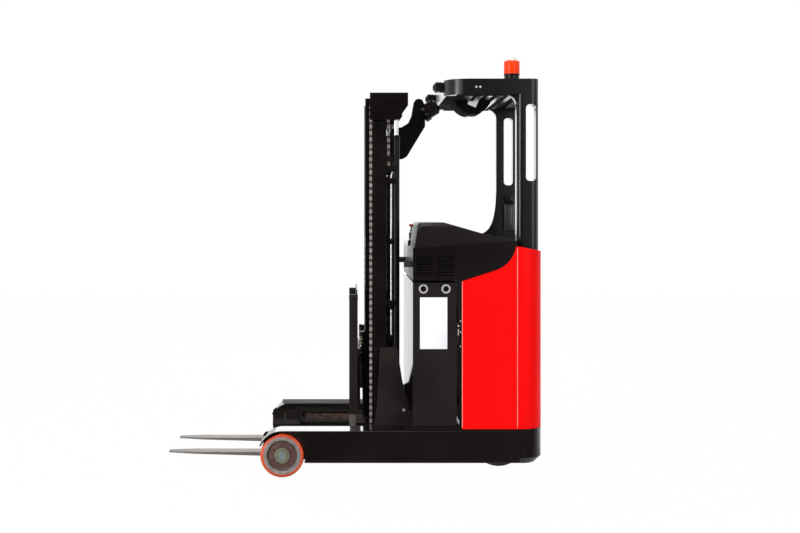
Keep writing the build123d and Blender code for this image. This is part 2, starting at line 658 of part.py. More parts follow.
# Console housing: open-bottomed shell over the battery with side walls that run back to the pillars
with BuildPart() as console_housing:
    shells = (
        (HALF_WIDTH, BATTERY_FRONT_X, 0, Mode.ADD),
        (BATTERY_HALF_Y, BATTERY_FRONT_X + CONSOLE_WALL, CONSOLE_WALL, Mode.SUBTRACT),
    )
    for shell_y, shell_x, roof_wall, mode in shells:
        with BuildSketch(side_plane(shell_y)):
            Polygon(
                (shell_x, CONSOLE_BOTTOM),
                (PANEL_FRONT_X, CONSOLE_BOTTOM),
                (PANEL_FRONT_X, crease_z(PANEL_FRONT_X) - roof_wall),
                (shell_x, crease_z(shell_x) - roof_wall),
                align=None,
            )
        extrude(amount=2 * shell_y, mode=mode)
    for wall_y in (HALF_WIDTH, PANEL_THICK - HALF_WIDTH):
        with BuildSketch(side_plane(wall_y)):
            with BuildLine():
                front = Line((PANEL_FRONT_X, crease_z(PANEL_FRONT_X)), (PANEL_FRONT_X, PANEL_LOW_Z))
                rise = Line(front @ 1, (PANEL_FRONT_X + SWEEP_RUN[0], PANEL_LOW_Z + SWEEP_RUN[1]))
                sweep_up = TangentArc(rise @ 1, (PANEL_SPLIT_X - SWEEP_LIP, PANEL_HIGH_Z), tangent=rise % 1)
                shelf = Line(sweep_up @ 1, (PANEL_SPLIT_X, PANEL_HIGH_Z))
                back = Line(shelf @ 1, (PANEL_SPLIT_X, crease_z(PANEL_SPLIT_X)))
                Line(back @ 1, front @ 0)
            make_face()
        extrude(amount=PANEL_THICK)
    for column in range(2):
        slot_x = BATTERY_FRONT_X + LOUVRE_INSET + column * (LOUVRE_WIDE + LOUVRE_GAP)
        for row in range(LOUVRE_ROWS):
            slot_z = CONSOLE_BOTTOM + LOUVRE_RISE + row * LOUVRE_PITCH
            for wall in both((BATTERY_HALF_Y, HALF_WIDTH)):
                louvre = ((slot_x, slot_x + LOUVRE_WIDE), wall, (slot_z, slot_z + LOUVRE_SLOT))
                block(*louvre, Mode.SUBTRACT)
save(console_housing, "console_housing")

# Console top: the tall cowl on the left that falls away into an arm rest, with a cover behind it
with BuildPart() as console_top:
    cowl_end = COWL_FRONT_X + COWL_LENGTH
    with BuildSketch(side_plane(PARTITION_Y)):
        Polygon(
            (COWL_FRONT_X, crease_z(COWL_FRONT_X)),
            (COWL_FRONT_X + 20, CONSOLE_TOP - 14),
            (COWL_FRONT_X + 33, CONSOLE_TOP),
            (cowl_end, CONSOLE_TOP),
            (cowl_end + COWL_FALL, CONSOLE_TOP - COWL_SLOPE),
            (PANEL_SPLIT_X, crease_z(PANEL_SPLIT_X) + 4),
            (PANEL_SPLIT_X, crease_z(PANEL_SPLIT_X)),
            align=None,
        )
    extrude(amount=HALF_WIDTH - 4 + PARTITION_Y)
    left_edges = console_top.edges().filter_by(lambda e: e.center().Y < 8 - HALF_WIDTH)
    chamfer(left_edges.filter_by(lambda e: e.center().Z > CONSOLE_TOP - 8), *COWL_EDGE)
    cover_y = (PANEL_THICK - HALF_WIDTH, PARTITION_Y - PARTITION_THICK)
    lip_x = PANEL_SPLIT_X - COVER_THICK
    block((lip_x, REAR_X - CORNER_R), cover_y, cover_z)
    block((lip_x, REAR_X - PANEL_THICK), (CORNER_R - HALF_WIDTH, cover_y[1]), cover_z)
    block((lip_x, PANEL_SPLIT_X), cover_y, (cover_z[0], crease_z(PANEL_SPLIT_X)))
    block((PILLAR_FRONT_X, PILLAR_REAR_X), (-PILLAR_OUT_Y, -PILLAR_IN_Y), cover_z, Mode.SUBTRACT)
save(console_top, "console_top")

# Dash on the right of the cowl, with the steering pod behind it
with BuildPart() as dash:
    with BuildSketch(side_plane(BATTERY_HALF_Y)):
        Polygon(
            (BATTERY_FRONT_X, crease_z(BATTERY_FRONT_X)),
            (BATTERY_FRONT_X, DASH_Z - DASH_EDGE),
            (BATTERY_FRONT_X + DASH_EDGE, DASH_Z),
            (PANEL_FRONT_X - DASH_EDGE, DASH_Z),
            (PANEL_FRONT_X, DASH_Z - DASH_EDGE),
            (PANEL_FRONT_X, crease_z(PANEL_FRONT_X)),
            align=None,
        )
    extrude(amount=BATTERY_HALF_Y - PARTITION_Y)
    pod_z = (DASH_Z - DASH_EDGE - POD_DEPTH, DASH_Z - DASH_EDGE)
    block((PANEL_FRONT_X, PANEL_FRONT_X + POD_LENGTH), about(STEER_WHEEL_Y, 2 * POD_HALF_Y), pod_z)
    rod("z", STEER_WHEEL_X, STEER_WHEEL_Y, (pod_z[1], STEER_WHEEL_Z - 8), COLUMN_R)
save(dash, "dash")

# Steering wheel: rim, hub, two spokes and a spinner knob
with BuildPart() as steering_wheel:
    rim_y = STEER_WHEEL_R - STEER_RIM_R
    column = Axis((STEER_WHEEL_X, STEER_WHEEL_Y, 0), (0, 0, 1))
    with BuildSketch(side_plane(STEER_WHEEL_Y)):
        with Locations((STEER_WHEEL_X + rim_y, STEER_WHEEL_Z)):
            RegularPolygon(STEER_RIM_R, 8)
    revolve(axis=column)
    rod("z", STEER_WHEEL_X, STEER_WHEEL_Y, about(STEER_WHEEL_Z + 1, COLUMN_R), POD_HALF_Y / 3)
    spoke_y = about(STEER_WHEEL_Y, 2 * rim_y)
    block(about(STEER_WHEEL_X, SPOKE_WIDE), spoke_y, about(STEER_WHEEL_Z, 8))
    rod("z", STEER_WHEEL_X, spoke_y[0] + KNOB_R, (STEER_WHEEL_Z, STEER_WHEEL_Z + KNOB_HIGH), KNOB_R)
save(steering_wheel, "steering_wheel")

# Emergency stop on the dash: its box, stem and mushroom head
with BuildPart() as emergency_stop:
    stem_z = DASH_Z + STOP_BOX_HIGH
    head_z = stem_z + STOP_STEM_HIGH
    rod("z", STOP_X, STOP_Y, (DASH_Z, stem_z), STOP_HEAD_R)
    rod("z", STOP_X, STOP_Y, (stem_z, head_z), STOP_HEAD_R * 0.6)
    rod("z", STOP_X, STOP_Y, (head_z, head_z + STOP_HEAD_HIGH), STOP_HEAD_R)
save(emergency_stop, "emergency_stop")

# Control levers on the dash
with BuildPart() as control_levers:
    for lever_y in LEVER_YS:
        knob_z = DASH_Z + LEVER_HIGH
        rod("z", PANEL_FRONT_X - LEVER_SETBACK, lever_y, (DASH_Z, knob_z), LEVER_KNOB_R / 2)
        rod("z", PANEL_FRONT_X - LEVER_SETBACK, lever_y, (knob_z, knob_z + LEVER_KNOB_HIGH), LEVER_KNOB_R)
save(control_levers, "control_levers")

# Rubber buffers on the front of the console
with BuildPart() as buffers:
    for side in (-1, 1):
        buffer_x = (BATTERY_FRONT_X - BUFFER_LENGTH, BATTERY_FRONT_X)
        rod("x", side * LIFT_CYL_Y, CONSOLE_BOTTOM + BUFFER_RISE, buffer_x, BUFFER_R)
save(buffers, "buffers")

# Overhead guard: two pillars with tall windows, a rounded roof ring and cross bars, as one weldment
with BuildPart() as overhead_guard:
    roof_bend_x = ROOF_FRONT_X + ROOF_CORNER_R
    roof_bend_y = PILLAR_OUT_Y - ROOF_CORNER_R
    with BuildSketch(Plane.XY.offset(ROOF_LOW)):
        with BuildLine():
            Polyline(
                (roof_bend_x, PILLAR_OUT_Y),
                (PILLAR_REAR_X, PILLAR_OUT_Y),
                (PILLAR_REAR_X, -PILLAR_OUT_Y),
                (roof_bend_x, -PILLAR_OUT_Y),
            )
            RadiusArc((roof_bend_x, -PILLAR_OUT_Y), (ROOF_FRONT_X, -roof_bend_y), ROOF_CORNER_R)
            Line((ROOF_FRONT_X, -roof_bend_y), (ROOF_FRONT_X, roof_bend_y))
            RadiusArc((ROOF_FRONT_X, roof_bend_y), (roof_bend_x, PILLAR_OUT_Y), ROOF_CORNER_R)
        make_face()
    extrude(amount=ROOF_THICK)
    roof_in_x = (ROOF_FRONT_X + PILLAR_WIDE, PILLAR_FRONT_X + PILLAR_WIDE / 2)
    block(roof_in_x, (-PILLAR_IN_Y, PILLAR_IN_Y), (ROOF_LOW, GUARD_HEIGHT), Mode.SUBTRACT)
    for bar in range(ROOF_BARS):
        bar_x = roof_in_x[0] + (bar + 1) * (roof_in_x[1] - roof_in_x[0]) / (ROOF_BARS + 1)
        block(about(bar_x, BAR_WIDE), (-PILLAR_IN_Y, PILLAR_IN_Y), (ROOF_LOW, ROOF_LOW + BAR_HIGH))
    seat_y = (-PILLAR_IN_Y, BEACON_Y + BEACON_R + 6)
    block(about(BEACON_X, 2 * BEACON_R + 12), seat_y, (GUARD_HEIGHT - BEACON_SEAT, GUARD_HEIGHT))
    for pillar_y in both((PILLAR_IN_Y, PILLAR_OUT_Y)):
        block((PILLAR_FRONT_X, PILLAR_REAR_X), pillar_y, (BASE_TOP, GUARD_HEIGHT))
    uprights = overhead_guard.edges().filter_by(Axis.Z)
    outer_edges = uprights.filter_by(lambda e: abs(e.center().Y) > PILLAR_OUT_Y - 1)
    fillet(outer_edges.filter_by(lambda e: e.center().X > PILLAR_REAR_X - 1), PILLAR_REAR_R)
    uprights = overhead_guard.edges().filter_by(Axis.Z)
    outer_edges = uprights.filter_by(lambda e: abs(e.center().Y) > PILLAR_OUT_Y - 1)
    fillet(outer_edges.filter_by(lambda e: abs(e.center().X - PILLAR_FRONT_X) < 1), PILLAR_FRONT_R)
    for knee_y in both((PILLAR_IN_Y, PILLAR_OUT_Y - PILLAR_FRONT_R)):
        block((PILLAR_FRONT_X - KNEE_R, PILLAR_FRONT_X), knee_y, (ROOF_LOW - KNEE_R, ROOF_LOW))
        rod("y", PILLAR_FRONT_X - KNEE_R, ROOF_LOW - KNEE_R, knee_y, KNEE_R, Mode.SUBTRACT)
    slot_x = PILLAR_REAR_X - PILLAR_SETBACK - SLOT_WIDE / 2
    slot_z = GUARD_HEIGHT - SLOT_DROP - SLOT_HIGH / 2
    with BuildSketch(side_plane(HALF_WIDTH)):
        with Locations((slot_x, slot_z)):
            RectangleRounded(SLOT_WIDE, SLOT_HIGH, SLOT_R)
    extrude(amount=OVERALL_WIDTH, mode=Mode.SUBTRACT)
save(overhead_guard, "overhead_guard")

# Rounded switch housing under the roof
with BuildPart() as roof_console:
    belly_x = ROOF_FRONT_X + BELLY_SETBACK
    rod("y", belly_x, ROOF_LOW + BELLY_R - BELLY_DROP, (-BELLY_HALF_Y, BELLY_HALF_Y), BELLY_R)
    over = (ROOF_LOW, ROOF_LOW + 2 * BELLY_R)
    block(about(belly_x, 4 * BELLY_R), about(0, 4 * BELLY_HALF_Y), over, Mode.SUBTRACT)
save(roof_console, "roof_console")

# Lamps on the front of the roof
with BuildPart() as roof_lamp:
    lamp_x = (ROOF_FRONT_X - ROOF_LAMP_SIZE[0], ROOF_FRONT_X)
    lamp_z = (GUARD_HEIGHT - 6 - ROOF_LAMP_SIZE[2], GUARD_HEIGHT - 6)
    for side in (-1, 1):
        block(lamp_x, about(side * ROOF_LAMP_Y, ROOF_LAMP_SIZE[1]), lamp_z)
    front_faces = roof_lamp.faces().filter_by(lambda f: f.center().X < lamp_x[0] + 1)
    chamfer(front_faces.edges(), 8)
save(roof_lamp, "roof_lamp")

# Warning beacon: black foot, amber lens, clear cap
with BuildPart() as beacon:
    lens_low = GUARD_HEIGHT + BEACON_BASE_H
    lens_top = lens_low + BEACON_LENS_H
    rod("z", BEACON_X, BEACON_Y, (GUARD_HEIGHT, lens_low), BEACON_R)
    rod("z", BEACON_X, BEACON_Y, (lens_low, lens_top), BEACON_R * 0.95)
    rod("z", BEACON_X, BEACON_Y, (lens_top, lens_top + BEACON_CAP_H), BEACON_R * 0.7)
save(beacon, "beacon")

# Fairing that sweeps up to the right pillar
with BuildPart() as pillar_fairing:
    toe_x = PILLAR_FRONT_X - FAIRING_REACH
    with BuildSketch(side_plane(PILLAR_OUT_Y - PILLAR_FRONT_R)):
        with BuildLine():
            foot = Line((PILLAR_FRONT_X, PANEL_HIGH_Z), (toe_x, PANEL_HIGH_Z))
            toe = Line(foot @ 1, (toe_x + FAIRING_REACH / 7, PANEL_HIGH_Z + FAIRING_HIGH * 0.155))
            curve = Bezier(
                toe @ 1,
                (PILLAR_FRONT_X - FAIRING_REACH * 0.3, PANEL_HIGH_Z + FAIRING_HIGH * 0.167),
                (PILLAR_FRONT_X - FAIRING_REACH * 0.03, PANEL_HIGH_Z + FAIRING_HIGH * 0.36),
                (PILLAR_FRONT_X, PANEL_HIGH_Z + FAIRING_HIGH),
            )
            Line(curve @ 1, foot @ 0)
        make_face()
    extrude(amount=PILLAR_WIDE - PILLAR_FRONT_R - FAIRING_INSET)
save(pillar_fairing, "pillar_fairing")

# Back pad on the right pillar
with BuildPart() as back_pad:
    pad_x = (PILLAR_FRONT_X + PILLAR_DEEP * 0.36, PILLAR_REAR_X - PILLAR_SETBACK / 2)
    pad_z = (PANEL_HIGH_Z + PAD_RISE, PANEL_HIGH_Z + PAD_RISE + PAD_HIGH)
    block(pad_x, (PILLAR_IN_Y - PAD_THICK, PILLAR_IN_Y), pad_z)
    fillet(back_pad.edges().filter_by(Axis.Z), PAD_THICK / 3)
save(back_pad, "back_pad")

# Reach frame: two side plates with gussets, joined by a low cross beam behind the mast
with BuildPart() as reach_frame:
    gusset_x = OUTER_X[1] + GUSSET_REACH
    for plate_y in both((SIDE_PLATE_IN_Y, SIDE_PLATE_OUT_Y)):
        with BuildSketch(side_plane(plate_y[1])):
            Polygon(
                (OUTER_X[0], CARRIAGE_LOW),
                (CARRIAGE_REAR_X, CARRIAGE_LOW),
                (CARRIAGE_REAR_X, CARRIAGE_STEP_Z),
                (CARRIAGE_BLOCK_X, CARRIAGE_STEP_Z),
                (CARRIAGE_BLOCK_X, CARRIAGE_BLOCK_Z),
                (gusset_x, GUSSET_Z),
                (gusset_x - GUSSET_REACH / 3, SIDE_PLATE_TOP),
                (OUTER_X[0] + MAST_DEPTH / 2, SIDE_PLATE_TOP),
                (OUTER_X[0] + MAST_DEPTH / 4, CARRIAGE_BLOCK_Z),
                (OUTER_X[0], CARRIAGE_STEP_Z),
                align=None,
            )
        extrude(amount=SIDE_PLATE_OUT_Y - SIDE_PLATE_IN_Y)
    beam_x = (CARRIAGE_REAR_X - 30 - BEAM_LENGTH, CARRIAGE_REAR_X - 30)
    block(beam_x, (-SIDE_PLATE_IN_Y, SIDE_PLATE_IN_Y), (CARRIAGE_LOW + 6, CARRIAGE_STEP_Z - 10))
    foot_x = (LIFT_CYL_X - LIFT_BARREL_R - 10, CARRIAGE_BLOCK_X)
    for foot_y in both((OUTER_Y[0], SIDE_PLATE_IN_Y)):
        block(foot_x, foot_y, (CARRIAGE_LOW, CARRIAGE_LOW + FOOT_THICK))
save(reach_frame, "reach_frame")

# Rollers of the reach frame, held in the legs' rails
with BuildPart() as reach_rollers:
    for roller_y in both((SIDE_PLATE_OUT_Y, LEG_INNER_Y + RAIL_DEPTH - 6)):
        for roller_x in (REACH_ROLLER_X - REACH_ROLLER_SPAN, REACH_ROLLER_X):
            rod("y", roller_x, REACH_ROLLER_Z, roller_y, REACH_ROLLER_R)
save(reach_rollers, "reach_rollers")

# Reach cylinder: barrel held in the rear bumper, rod pushed out with the reach frame
with BuildPart() as reach_barrel:
    rod("x", REACH_CYL_Y, REACH_CYL_Z, (BARREL_FRONT_X, BARREL_REAR_X), REACH_BARREL_R)
    bore_x = (BARREL_FRONT_X, BARREL_REAR_X - 12)
    rod("x", REACH_CYL_Y, REACH_CYL_Z, bore_x, REACH_ROD_R + 2, Mode.SUBTRACT)
save(reach_barrel, "reach_barrel")
with BuildPart() as reach_rod:
    rod("x", REACH_CYL_Y, REACH_CYL_Z, (beam_x[1], BARREL_REAR_X - 16), REACH_ROD_R)
save(reach_rod, "reach_rod")


def channel(span_y, span_x, span_z):
    """A pair of mast channels, open towards the middle of the truck, with their webs outside."""
    for y in both(span_y):
        block(span_x, y, span_z)
    inner = (span_y[0], span_y[1] - WEB)
    for y in both(inner):
        block((span_x[0] + FLANGE, span_x[1] - FLANGE), y, span_z, Mode.SUBTRACT)


def ties(span_y, rear_x, heights):
    """Cross ties behind a pair of channels, each given by its lower and upper height."""
    for tie_z in heights:
        block((rear_x, rear_x + TIE_THICK), (-span_y, span_y), tie_z)


def rollers(span_y, span_x, low, gap):
    """Two rollers on each side of a mast stage, one above the other in the channel of the next stage out."""
    for roller_y in both(span_y):
        for roller_z in (low + ROLLER_RISE, low + ROLLER_RISE + gap):
            rod("y", (span_x[0] + span_x[1]) / 2, roller_z, roller_y, ROLLER_R)


# Outer mast, welded in the reach frame
with BuildPart() as outer_mast:
    channel(OUTER_Y, OUTER_X, OUTER_Z)
    foot_tie = (OUTER_Z[0], OUTER_Z[0] + FOOT_TIE_HIGH)
    lamp_tie = (LIFT_BARREL_TOP - 1.2 * HEAD_TIE_HIGH, LIFT_BARREL_TOP)
    ties(OUTER_Y[0] + 8, OUTER_X[1], (foot_tie, about(MID_TIE_Z, MID_TIE_HIGH), lamp_tie))
    clamp_heights = [level * MAST_HEIGHT for level in CLAMP_LEVELS] + [CHAIN_ANCHOR_Z - 20]
    for clamp_z in clamp_heights:
        for clamp_y in both((STAGE_CHAIN_Y + CHAIN_W / 2 + 5, OUTER_Y[1])):
            block((OUTER_X[1], LIFT_CYL_X), clamp_y, about(clamp_z, CLAMP_HIGH))
    for side in (-1, 1):
        rod("z", LIFT_CYL_X, side * LIFT_CYL_Y, OUTER_Z, LIFT_BARREL_R, Mode.SUBTRACT)
save(outer_mast, "outer_mast")

# Lift cylinders behind the outer mast
with BuildPart() as lift_barrels:
    gland_z = (LIFT_BARREL_TOP - GLAND, LIFT_BARREL_TOP)
    for side in (-1, 1):
        barrel_z = (CARRIAGE_LOW + FOOT_THICK, LIFT_BARREL_TOP)
        rod("z", LIFT_CYL_X, side * LIFT_CYL_Y, barrel_z, LIFT_BARREL_R)
        bore_z = (LIFT_ROD_LOW - 20, gland_z[0])
        rod("z", LIFT_CYL_X, side * LIFT_CYL_Y, bore_z, LIFT_ROD_R + 2, Mode.SUBTRACT)
        rod("z", LIFT_CYL_X, side * LIFT_CYL_Y, gland_z, LIFT_ROD_R + RUN_GAP, Mode.SUBTRACT)
save(lift_barrels, "lift_barrels")
with BuildPart() as lift_rods:
    for side in (-1, 1):
        rod("z", LIFT_CYL_X, side * LIFT_CYL_Y, (LIFT_ROD_LOW, HEAD_LOW + 30), LIFT_ROD_R)
save(lift_rods, "lift_rods")

# Middle mast with its rollers in the outer channels
with BuildPart() as middle_mast:
    channel(MIDDLE_Y, MIDDLE_X, MIDDLE_Z)
    foot_tie = (MIDDLE_Z[0], MIDDLE_Z[0] + FOOT_TIE_HIGH)
    mid_tie = about(MID_TIE_Z + MID_TIE_HIGH, MID_TIE_HIGH)
    ties(MIDDLE_Y[1], MIDDLE_X[1], (foot_tie, mid_tie, (MIDDLE_Z[1] - HEAD_TIE_HIGH, MIDDLE_Z[1])))
    rollers((MIDDLE_Y[1], OUTER_Y[1] - WEB - 3), OUTER_X, MIDDLE_Z[0], ROLLER_SPAN)
save(middle_mast, "middle_mast")

# Mast head: side cheeks over the sheaves, axle bars and blocks that the lift rods push
with BuildPart() as mast_head:
    head_rear_x = HEAD_FRONT_X + HEAD_LENGTH
    for side, cheek_y in ((-1, -HEAD_IN_Y), (1, HEAD_IN_Y + HEAD_PLATE)):
        with BuildSketch(side_plane(cheek_y)):
            Polygon(
                (HEAD_FRONT_X, HEAD_LOW),
                (HEAD_FRONT_X, HEAD_LOW + HEAD_HIGH),
                (head_rear_x, HEAD_LOW + HEAD_HIGH),
                (head_rear_x, HEAD_LOW + HEAD_CUT[1]),
                (head_rear_x - HEAD_CUT[0], HEAD_LOW),
                align=None,
            )
        extrude(amount=HEAD_PLATE)
        axle_y = (side * MIDDLE_Y[0], side * HEAD_IN_Y)
        rod("y", STAGE_SHEAVE_X, STAGE_SHEAVE_Z, axle_y, HEAD_AXLE_R)
        post_y = (side * MIDDLE_Y[0], side * MIDDLE_Y[1])
        block(MIDDLE_X, post_y, (MIDDLE_Z[1], STAGE_SHEAVE_Z + 40))
        rod_block_z = (HEAD_LOW + 30, HEAD_LOW + 30 + ROD_BLOCK)
        block(about(LIFT_CYL_X, ROD_BLOCK), (side * OUTER_Y[0], side * HEAD_IN_Y), rod_block_z)
save(mast_head, "mast_head")

# Sheaves of the stage chains
with BuildPart() as stage_sheaves:
    for side in (-1, 1):
        sheave_y = about(side * STAGE_CHAIN_Y, CHAIN_W)
        rod("y", STAGE_SHEAVE_X, STAGE_SHEAVE_Z, sheave_y, STAGE_SHEAVE_R)
        rod("y", STAGE_SHEAVE_X, STAGE_SHEAVE_Z, sheave_y, HEAD_AXLE_R, Mode.SUBTRACT)
save(stage_sheaves, "stage_sheaves")

# Stage chains, each over its sheave, with the outer link plates of the front strand
with BuildPart() as stage_chains:
    strands = ((STAGE_FRONT_X, STAGE_CHAIN_LOW), (STAGE_REAR_X, CHAIN_ANCHOR_Z - STAGE_LIFT))
    link_count = int((STAGE_SHEAVE_Z - STAGE_CHAIN_LOW) / LINK_PITCH)
    for side in (-1, 1):
        chain_y = about(side * STAGE_CHAIN_Y, CHAIN_W)
        rod("y", STAGE_SHEAVE_X, STAGE_SHEAVE_Z, chain_y, STAGE_SHEAVE_R + CHAIN_T)
        rod("y", STAGE_SHEAVE_X, STAGE_SHEAVE_Z, chain_y, STAGE_SHEAVE_R, Mode.SUBTRACT)
        below = (STAGE_SHEAVE_Z - 2 * STAGE_SHEAVE_R, STAGE_SHEAVE_Z)
        block(about(STAGE_SHEAVE_X, 4 * STAGE_SHEAVE_R), chain_y, below, Mode.SUBTRACT)
        for strand_x, strand_low in strands:
            block(about(strand_x, CHAIN_T), chain_y, (strand_low, STAGE_SHEAVE_Z))
        plate_y = (side * (STAGE_CHAIN_Y + CHAIN_W / 2), side * (STAGE_CHAIN_Y + CHAIN_W / 2 + LINK_PLATE))
        plate_mid = (plate_y[0] + plate_y[1]) / 2
        first_z = STAGE_CHAIN_LOW + LINK_PITCH / 2
        with Locations(*[(STAGE_FRONT_X, plate_mid, first_z + n * LINK_PITCH) for n in range(link_count)]):
            Box(LINK_HIGH, LINK_PLATE, LINK_LENGTH)
save(stage_chains, "stage_chains")

# Inner mast with its rollers in the middle channels and brackets for the stage chains at its foot
with BuildPart() as inner_mast:
    channel(INNER_Y, INNER_X, INNER_Z)
    foot_tie = (INNER_Z[0], INNER_Z[0] + FOOT_TIE_HIGH)
    ties(INNER_Y[1], INNER_X[1], (foot_tie, mid_tie, (INNER_Z[1] - HEAD_TIE_HIGH, INNER_Z[1])))
    pocket_y = (FREE_CHAIN_W - INNER_Y[0], INNER_Y[0] - FREE_CHAIN_W)
    block((INNER_X[1], INNER_X[1] + MOVE_GAP), pocket_y, (foot_tie[1] + 2, INNER_Z[1]), Mode.SUBTRACT)
    foot_x = (FREE_CYL_X - FREE_BARREL_R - 6, INNER_X[1])
    block(foot_x, (-2 * FREE_BARREL_R, 2 * FREE_BARREL_R), (INNER_Z[0], INNER_Z[0] + FREE_FOOT))
    rollers((INNER_Y[1], MIDDLE_Y[1] - WEB - 3), MIDDLE_X, INNER_Z[0], ROLLER_SPAN)
    chain_in_y = STAGE_CHAIN_Y - CHAIN_W / 2 - MOVE_GAP
    anchor_z = (STAGE_CHAIN_LOW - 4, STAGE_CHAIN_LOW - 4 + ANCHOR_HIGH)
    for bracket_y in both((INNER_Y[0], chain_in_y)):
        block((INNER_X[0], STAGE_FRONT_X - CHAIN_T / 2 - MOVE_GAP), bracket_y, anchor_z)
    for cheek_y in both((chain_in_y - CHEEK, chain_in_y)):
        block((INNER_X[0], STAGE_FRONT_X + CHAIN_T / 2), cheek_y, anchor_z)
save(inner_mast, "inner_mast")

# Free-lift cylinder in the inner mast
with BuildPart() as free_lift_barrel:
    gland_z = (FREE_BARREL_TOP - GLAND, FREE_BARREL_TOP)
    rod("z", FREE_CYL_X, 0, (INNER_Z[0] + FREE_FOOT, FREE_BARREL_TOP), FREE_BARREL_R)
    rod("z", FREE_CYL_X, 0, (FREE_ROD_LOW - 20, gland_z[0]), FREE_ROD_R + 2, Mode.SUBTRACT)
    rod("z", FREE_CYL_X, 0, gland_z, FREE_ROD_R + RUN_GAP, Mode.SUBTRACT)
save(free_lift_barrel, "free_lift_barrel")

# Crosshead on the free-lift rod, with two small sheaves
with BuildPart() as crosshead:
    rod("z", FREE_CYL_X, 0, (FREE_ROD_LOW, CROSSHEAD_Z), FREE_ROD_R)
    head_half = FREE_CHAIN_Y - FREE_CHAIN_W / 2
    block(about(FREE_CYL_X, CROSSHEAD_LENGTH), (-head_half, head_half), about(CROSSHEAD_Z, CROSSHEAD_HIGH))
    for side in (-1, 1):
        sheave_end = side * (FREE_CHAIN_Y + FREE_CHAIN_W / 2)
        rod("y", FREE_CYL_X, CROSSHEAD_Z, (side * head_half, sheave_end), FREE_SHEAVE_R)
        rod("y", FREE_CYL_X, CROSSHEAD_Z, (sheave_end, sheave_end + side * CHEEK), FREE_AXLE_R)
save(crosshead, "crosshead")

# Carriage chains over the crosshead's sheaves
with BuildPart() as carriage_chains:
    strands = ((-1, TILT_Z - 70), (1, MID_TIE_Z + MID_TIE_HIGH - FREE_LIFT / 2))
    for side in (-1, 1):
        chain_y = about(side * FREE_CHAIN_Y, FREE_CHAIN_W)
        rod("y", FREE_CYL_X, CROSSHEAD_Z, chain_y, FREE_SHEAVE_R + FREE_CHAIN_T)
        rod("y", FREE_CYL_X, CROSSHEAD_Z, chain_y, FREE_SHEAVE_R, Mode.SUBTRACT)
        below = (CROSSHEAD_Z - 2 * FREE_SHEAVE_R, CROSSHEAD_Z)
        block(about(FREE_CYL_X, 4 * FREE_SHEAVE_R), chain_y, below, Mode.SUBTRACT)
        for turn, strand_low in strands:
            strand = (FREE_CYL_X + turn * FREE_SHEAVE_R, FREE_CYL_X + turn * (FREE_SHEAVE_R + FREE_CHAIN_T))
            block(strand, chain_y, (strand_low, CROSSHEAD_Z))
save(carriage_chains, "carriage_chains")

# Fork carriage: side plates with rollers in the inner channels, two cross plates, tilt pins
with BuildPart() as fork_carriage:
    for plate_y in both(CARRIAGE_PLATE_Y):
        block(CARRIAGE_PLATE_X, plate_y, CARRIAGE_Z)
        block((CARRIAGE_TOP_X, CARRIAGE_PLATE_X[0]), plate_y, (HORN_LOW, CARRIAGE_Z[1]))
        block((CARRIAGE_TOP_X, INNER_X[0] + MAST_DEPTH / 2), plate_y, (CARRIAGE_Z[1], HORN_TOP))
    plate_y = (-CARRIAGE_PLATE_Y[0], CARRIAGE_PLATE_Y[0])
    low_plate_z = (CARRIAGE_Z[0] + 10, CARRIAGE_Z[0] + 70)
    block((CARRIAGE_PLATE_X[0], CARRIAGE_PLATE_X[0] + LOW_PLATE), plate_y, low_plate_z)
    high_plate_z = (HORN_LOW + 5, TILT_Z - TILT_EYE_R - 12)
    block((CARRIAGE_TOP_X, CARRIAGE_TOP_X + HIGH_PLATE), plate_y, high_plate_z)
    roller_gap = CARRIAGE_Z[1] - CARRIAGE_Z[0] - 2 * ROLLER_RISE + 30
    rollers((CARRIAGE_PLATE_Y[1], INNER_Y[1] - WEB - 3), INNER_X, CARRIAGE_Z[0] - 40, roller_gap)
    for pin_y in both((LUG_Y[0] - LUG_GAP, CARRIAGE_PLATE_Y[0])):
        rod("y", TILT_X, TILT_Z, pin_y, TILT_PIN_R)
    for bracket_y in both((CARRIAGE_PLATE_Y[1], TILT_CYL_Y)):
        bracket_x = (TILT_CYL_X - TILT_CYL_R / 2, INNER_X[0] - MOVE_GAP - 1)
        block(bracket_x, bracket_y, (HORN_LOW + 10, HORN_LOW + 35))
    cylinder_top = TILT_Z - TILT_EYE_R - 1
    for side in (-1, 1):
        cylinder_z = (cylinder_top - TILT_CYL_LENGTH, cylinder_top)
        rod("z", TILT_CYL_X, side * TILT_CYL_Y, cylinder_z, TILT_CYL_R)
        rod("z", TILT_CYL_X, side * TILT_CYL_Y, (cylinder_top, cylinder_top + TILT_ROD_HIGH), TILT_ROD_R)
        head_z = (HORN_TOP - TILT_HEAD_HIGH, HORN_TOP)
        rod("z", TILT_HEAD_X, side * TILT_CYL_Y, head_z, TILT_HEAD_R)
        cap_y = (side * CARRIAGE_PLATE_Y[1], side * TILT_CYL_Y)
        block(about(TILT_HEAD_X, 2 * TILT_HEAD_R), cap_y, (HORN_TOP - TILT_HEAD_R, HORN_TOP))
save(fork_carriage, "fork_carriage")

# Fork frame: two bars with hinge lugs
with BuildPart() as fork_frame:
    for bar_z in (LOW_BAR_Z, HIGH_BAR_Z):
        block(FORK_BAR_X, (-FORK_BAR_HALF_Y, FORK_BAR_HALF_Y), bar_z)
    for lug_y in both(LUG_Y):
        block((FORK_BAR_X[0] + 4, FORK_BAR_X[1]), lug_y, (LOW_BAR_Z[1], HIGH_BAR_Z[0]))
        block((FORK_BAR_X[1] - 6, TILT_X), lug_y, about(TILT_Z, 2 * TILT_EYE_R))
        rod("y", TILT_X, TILT_Z, lug_y, TILT_EYE_R)
        rod("y", TILT_X, TILT_Z, lug_y, TILT_PIN_R + RUN_GAP, Mode.SUBTRACT)
save(fork_frame, "fork_frame")

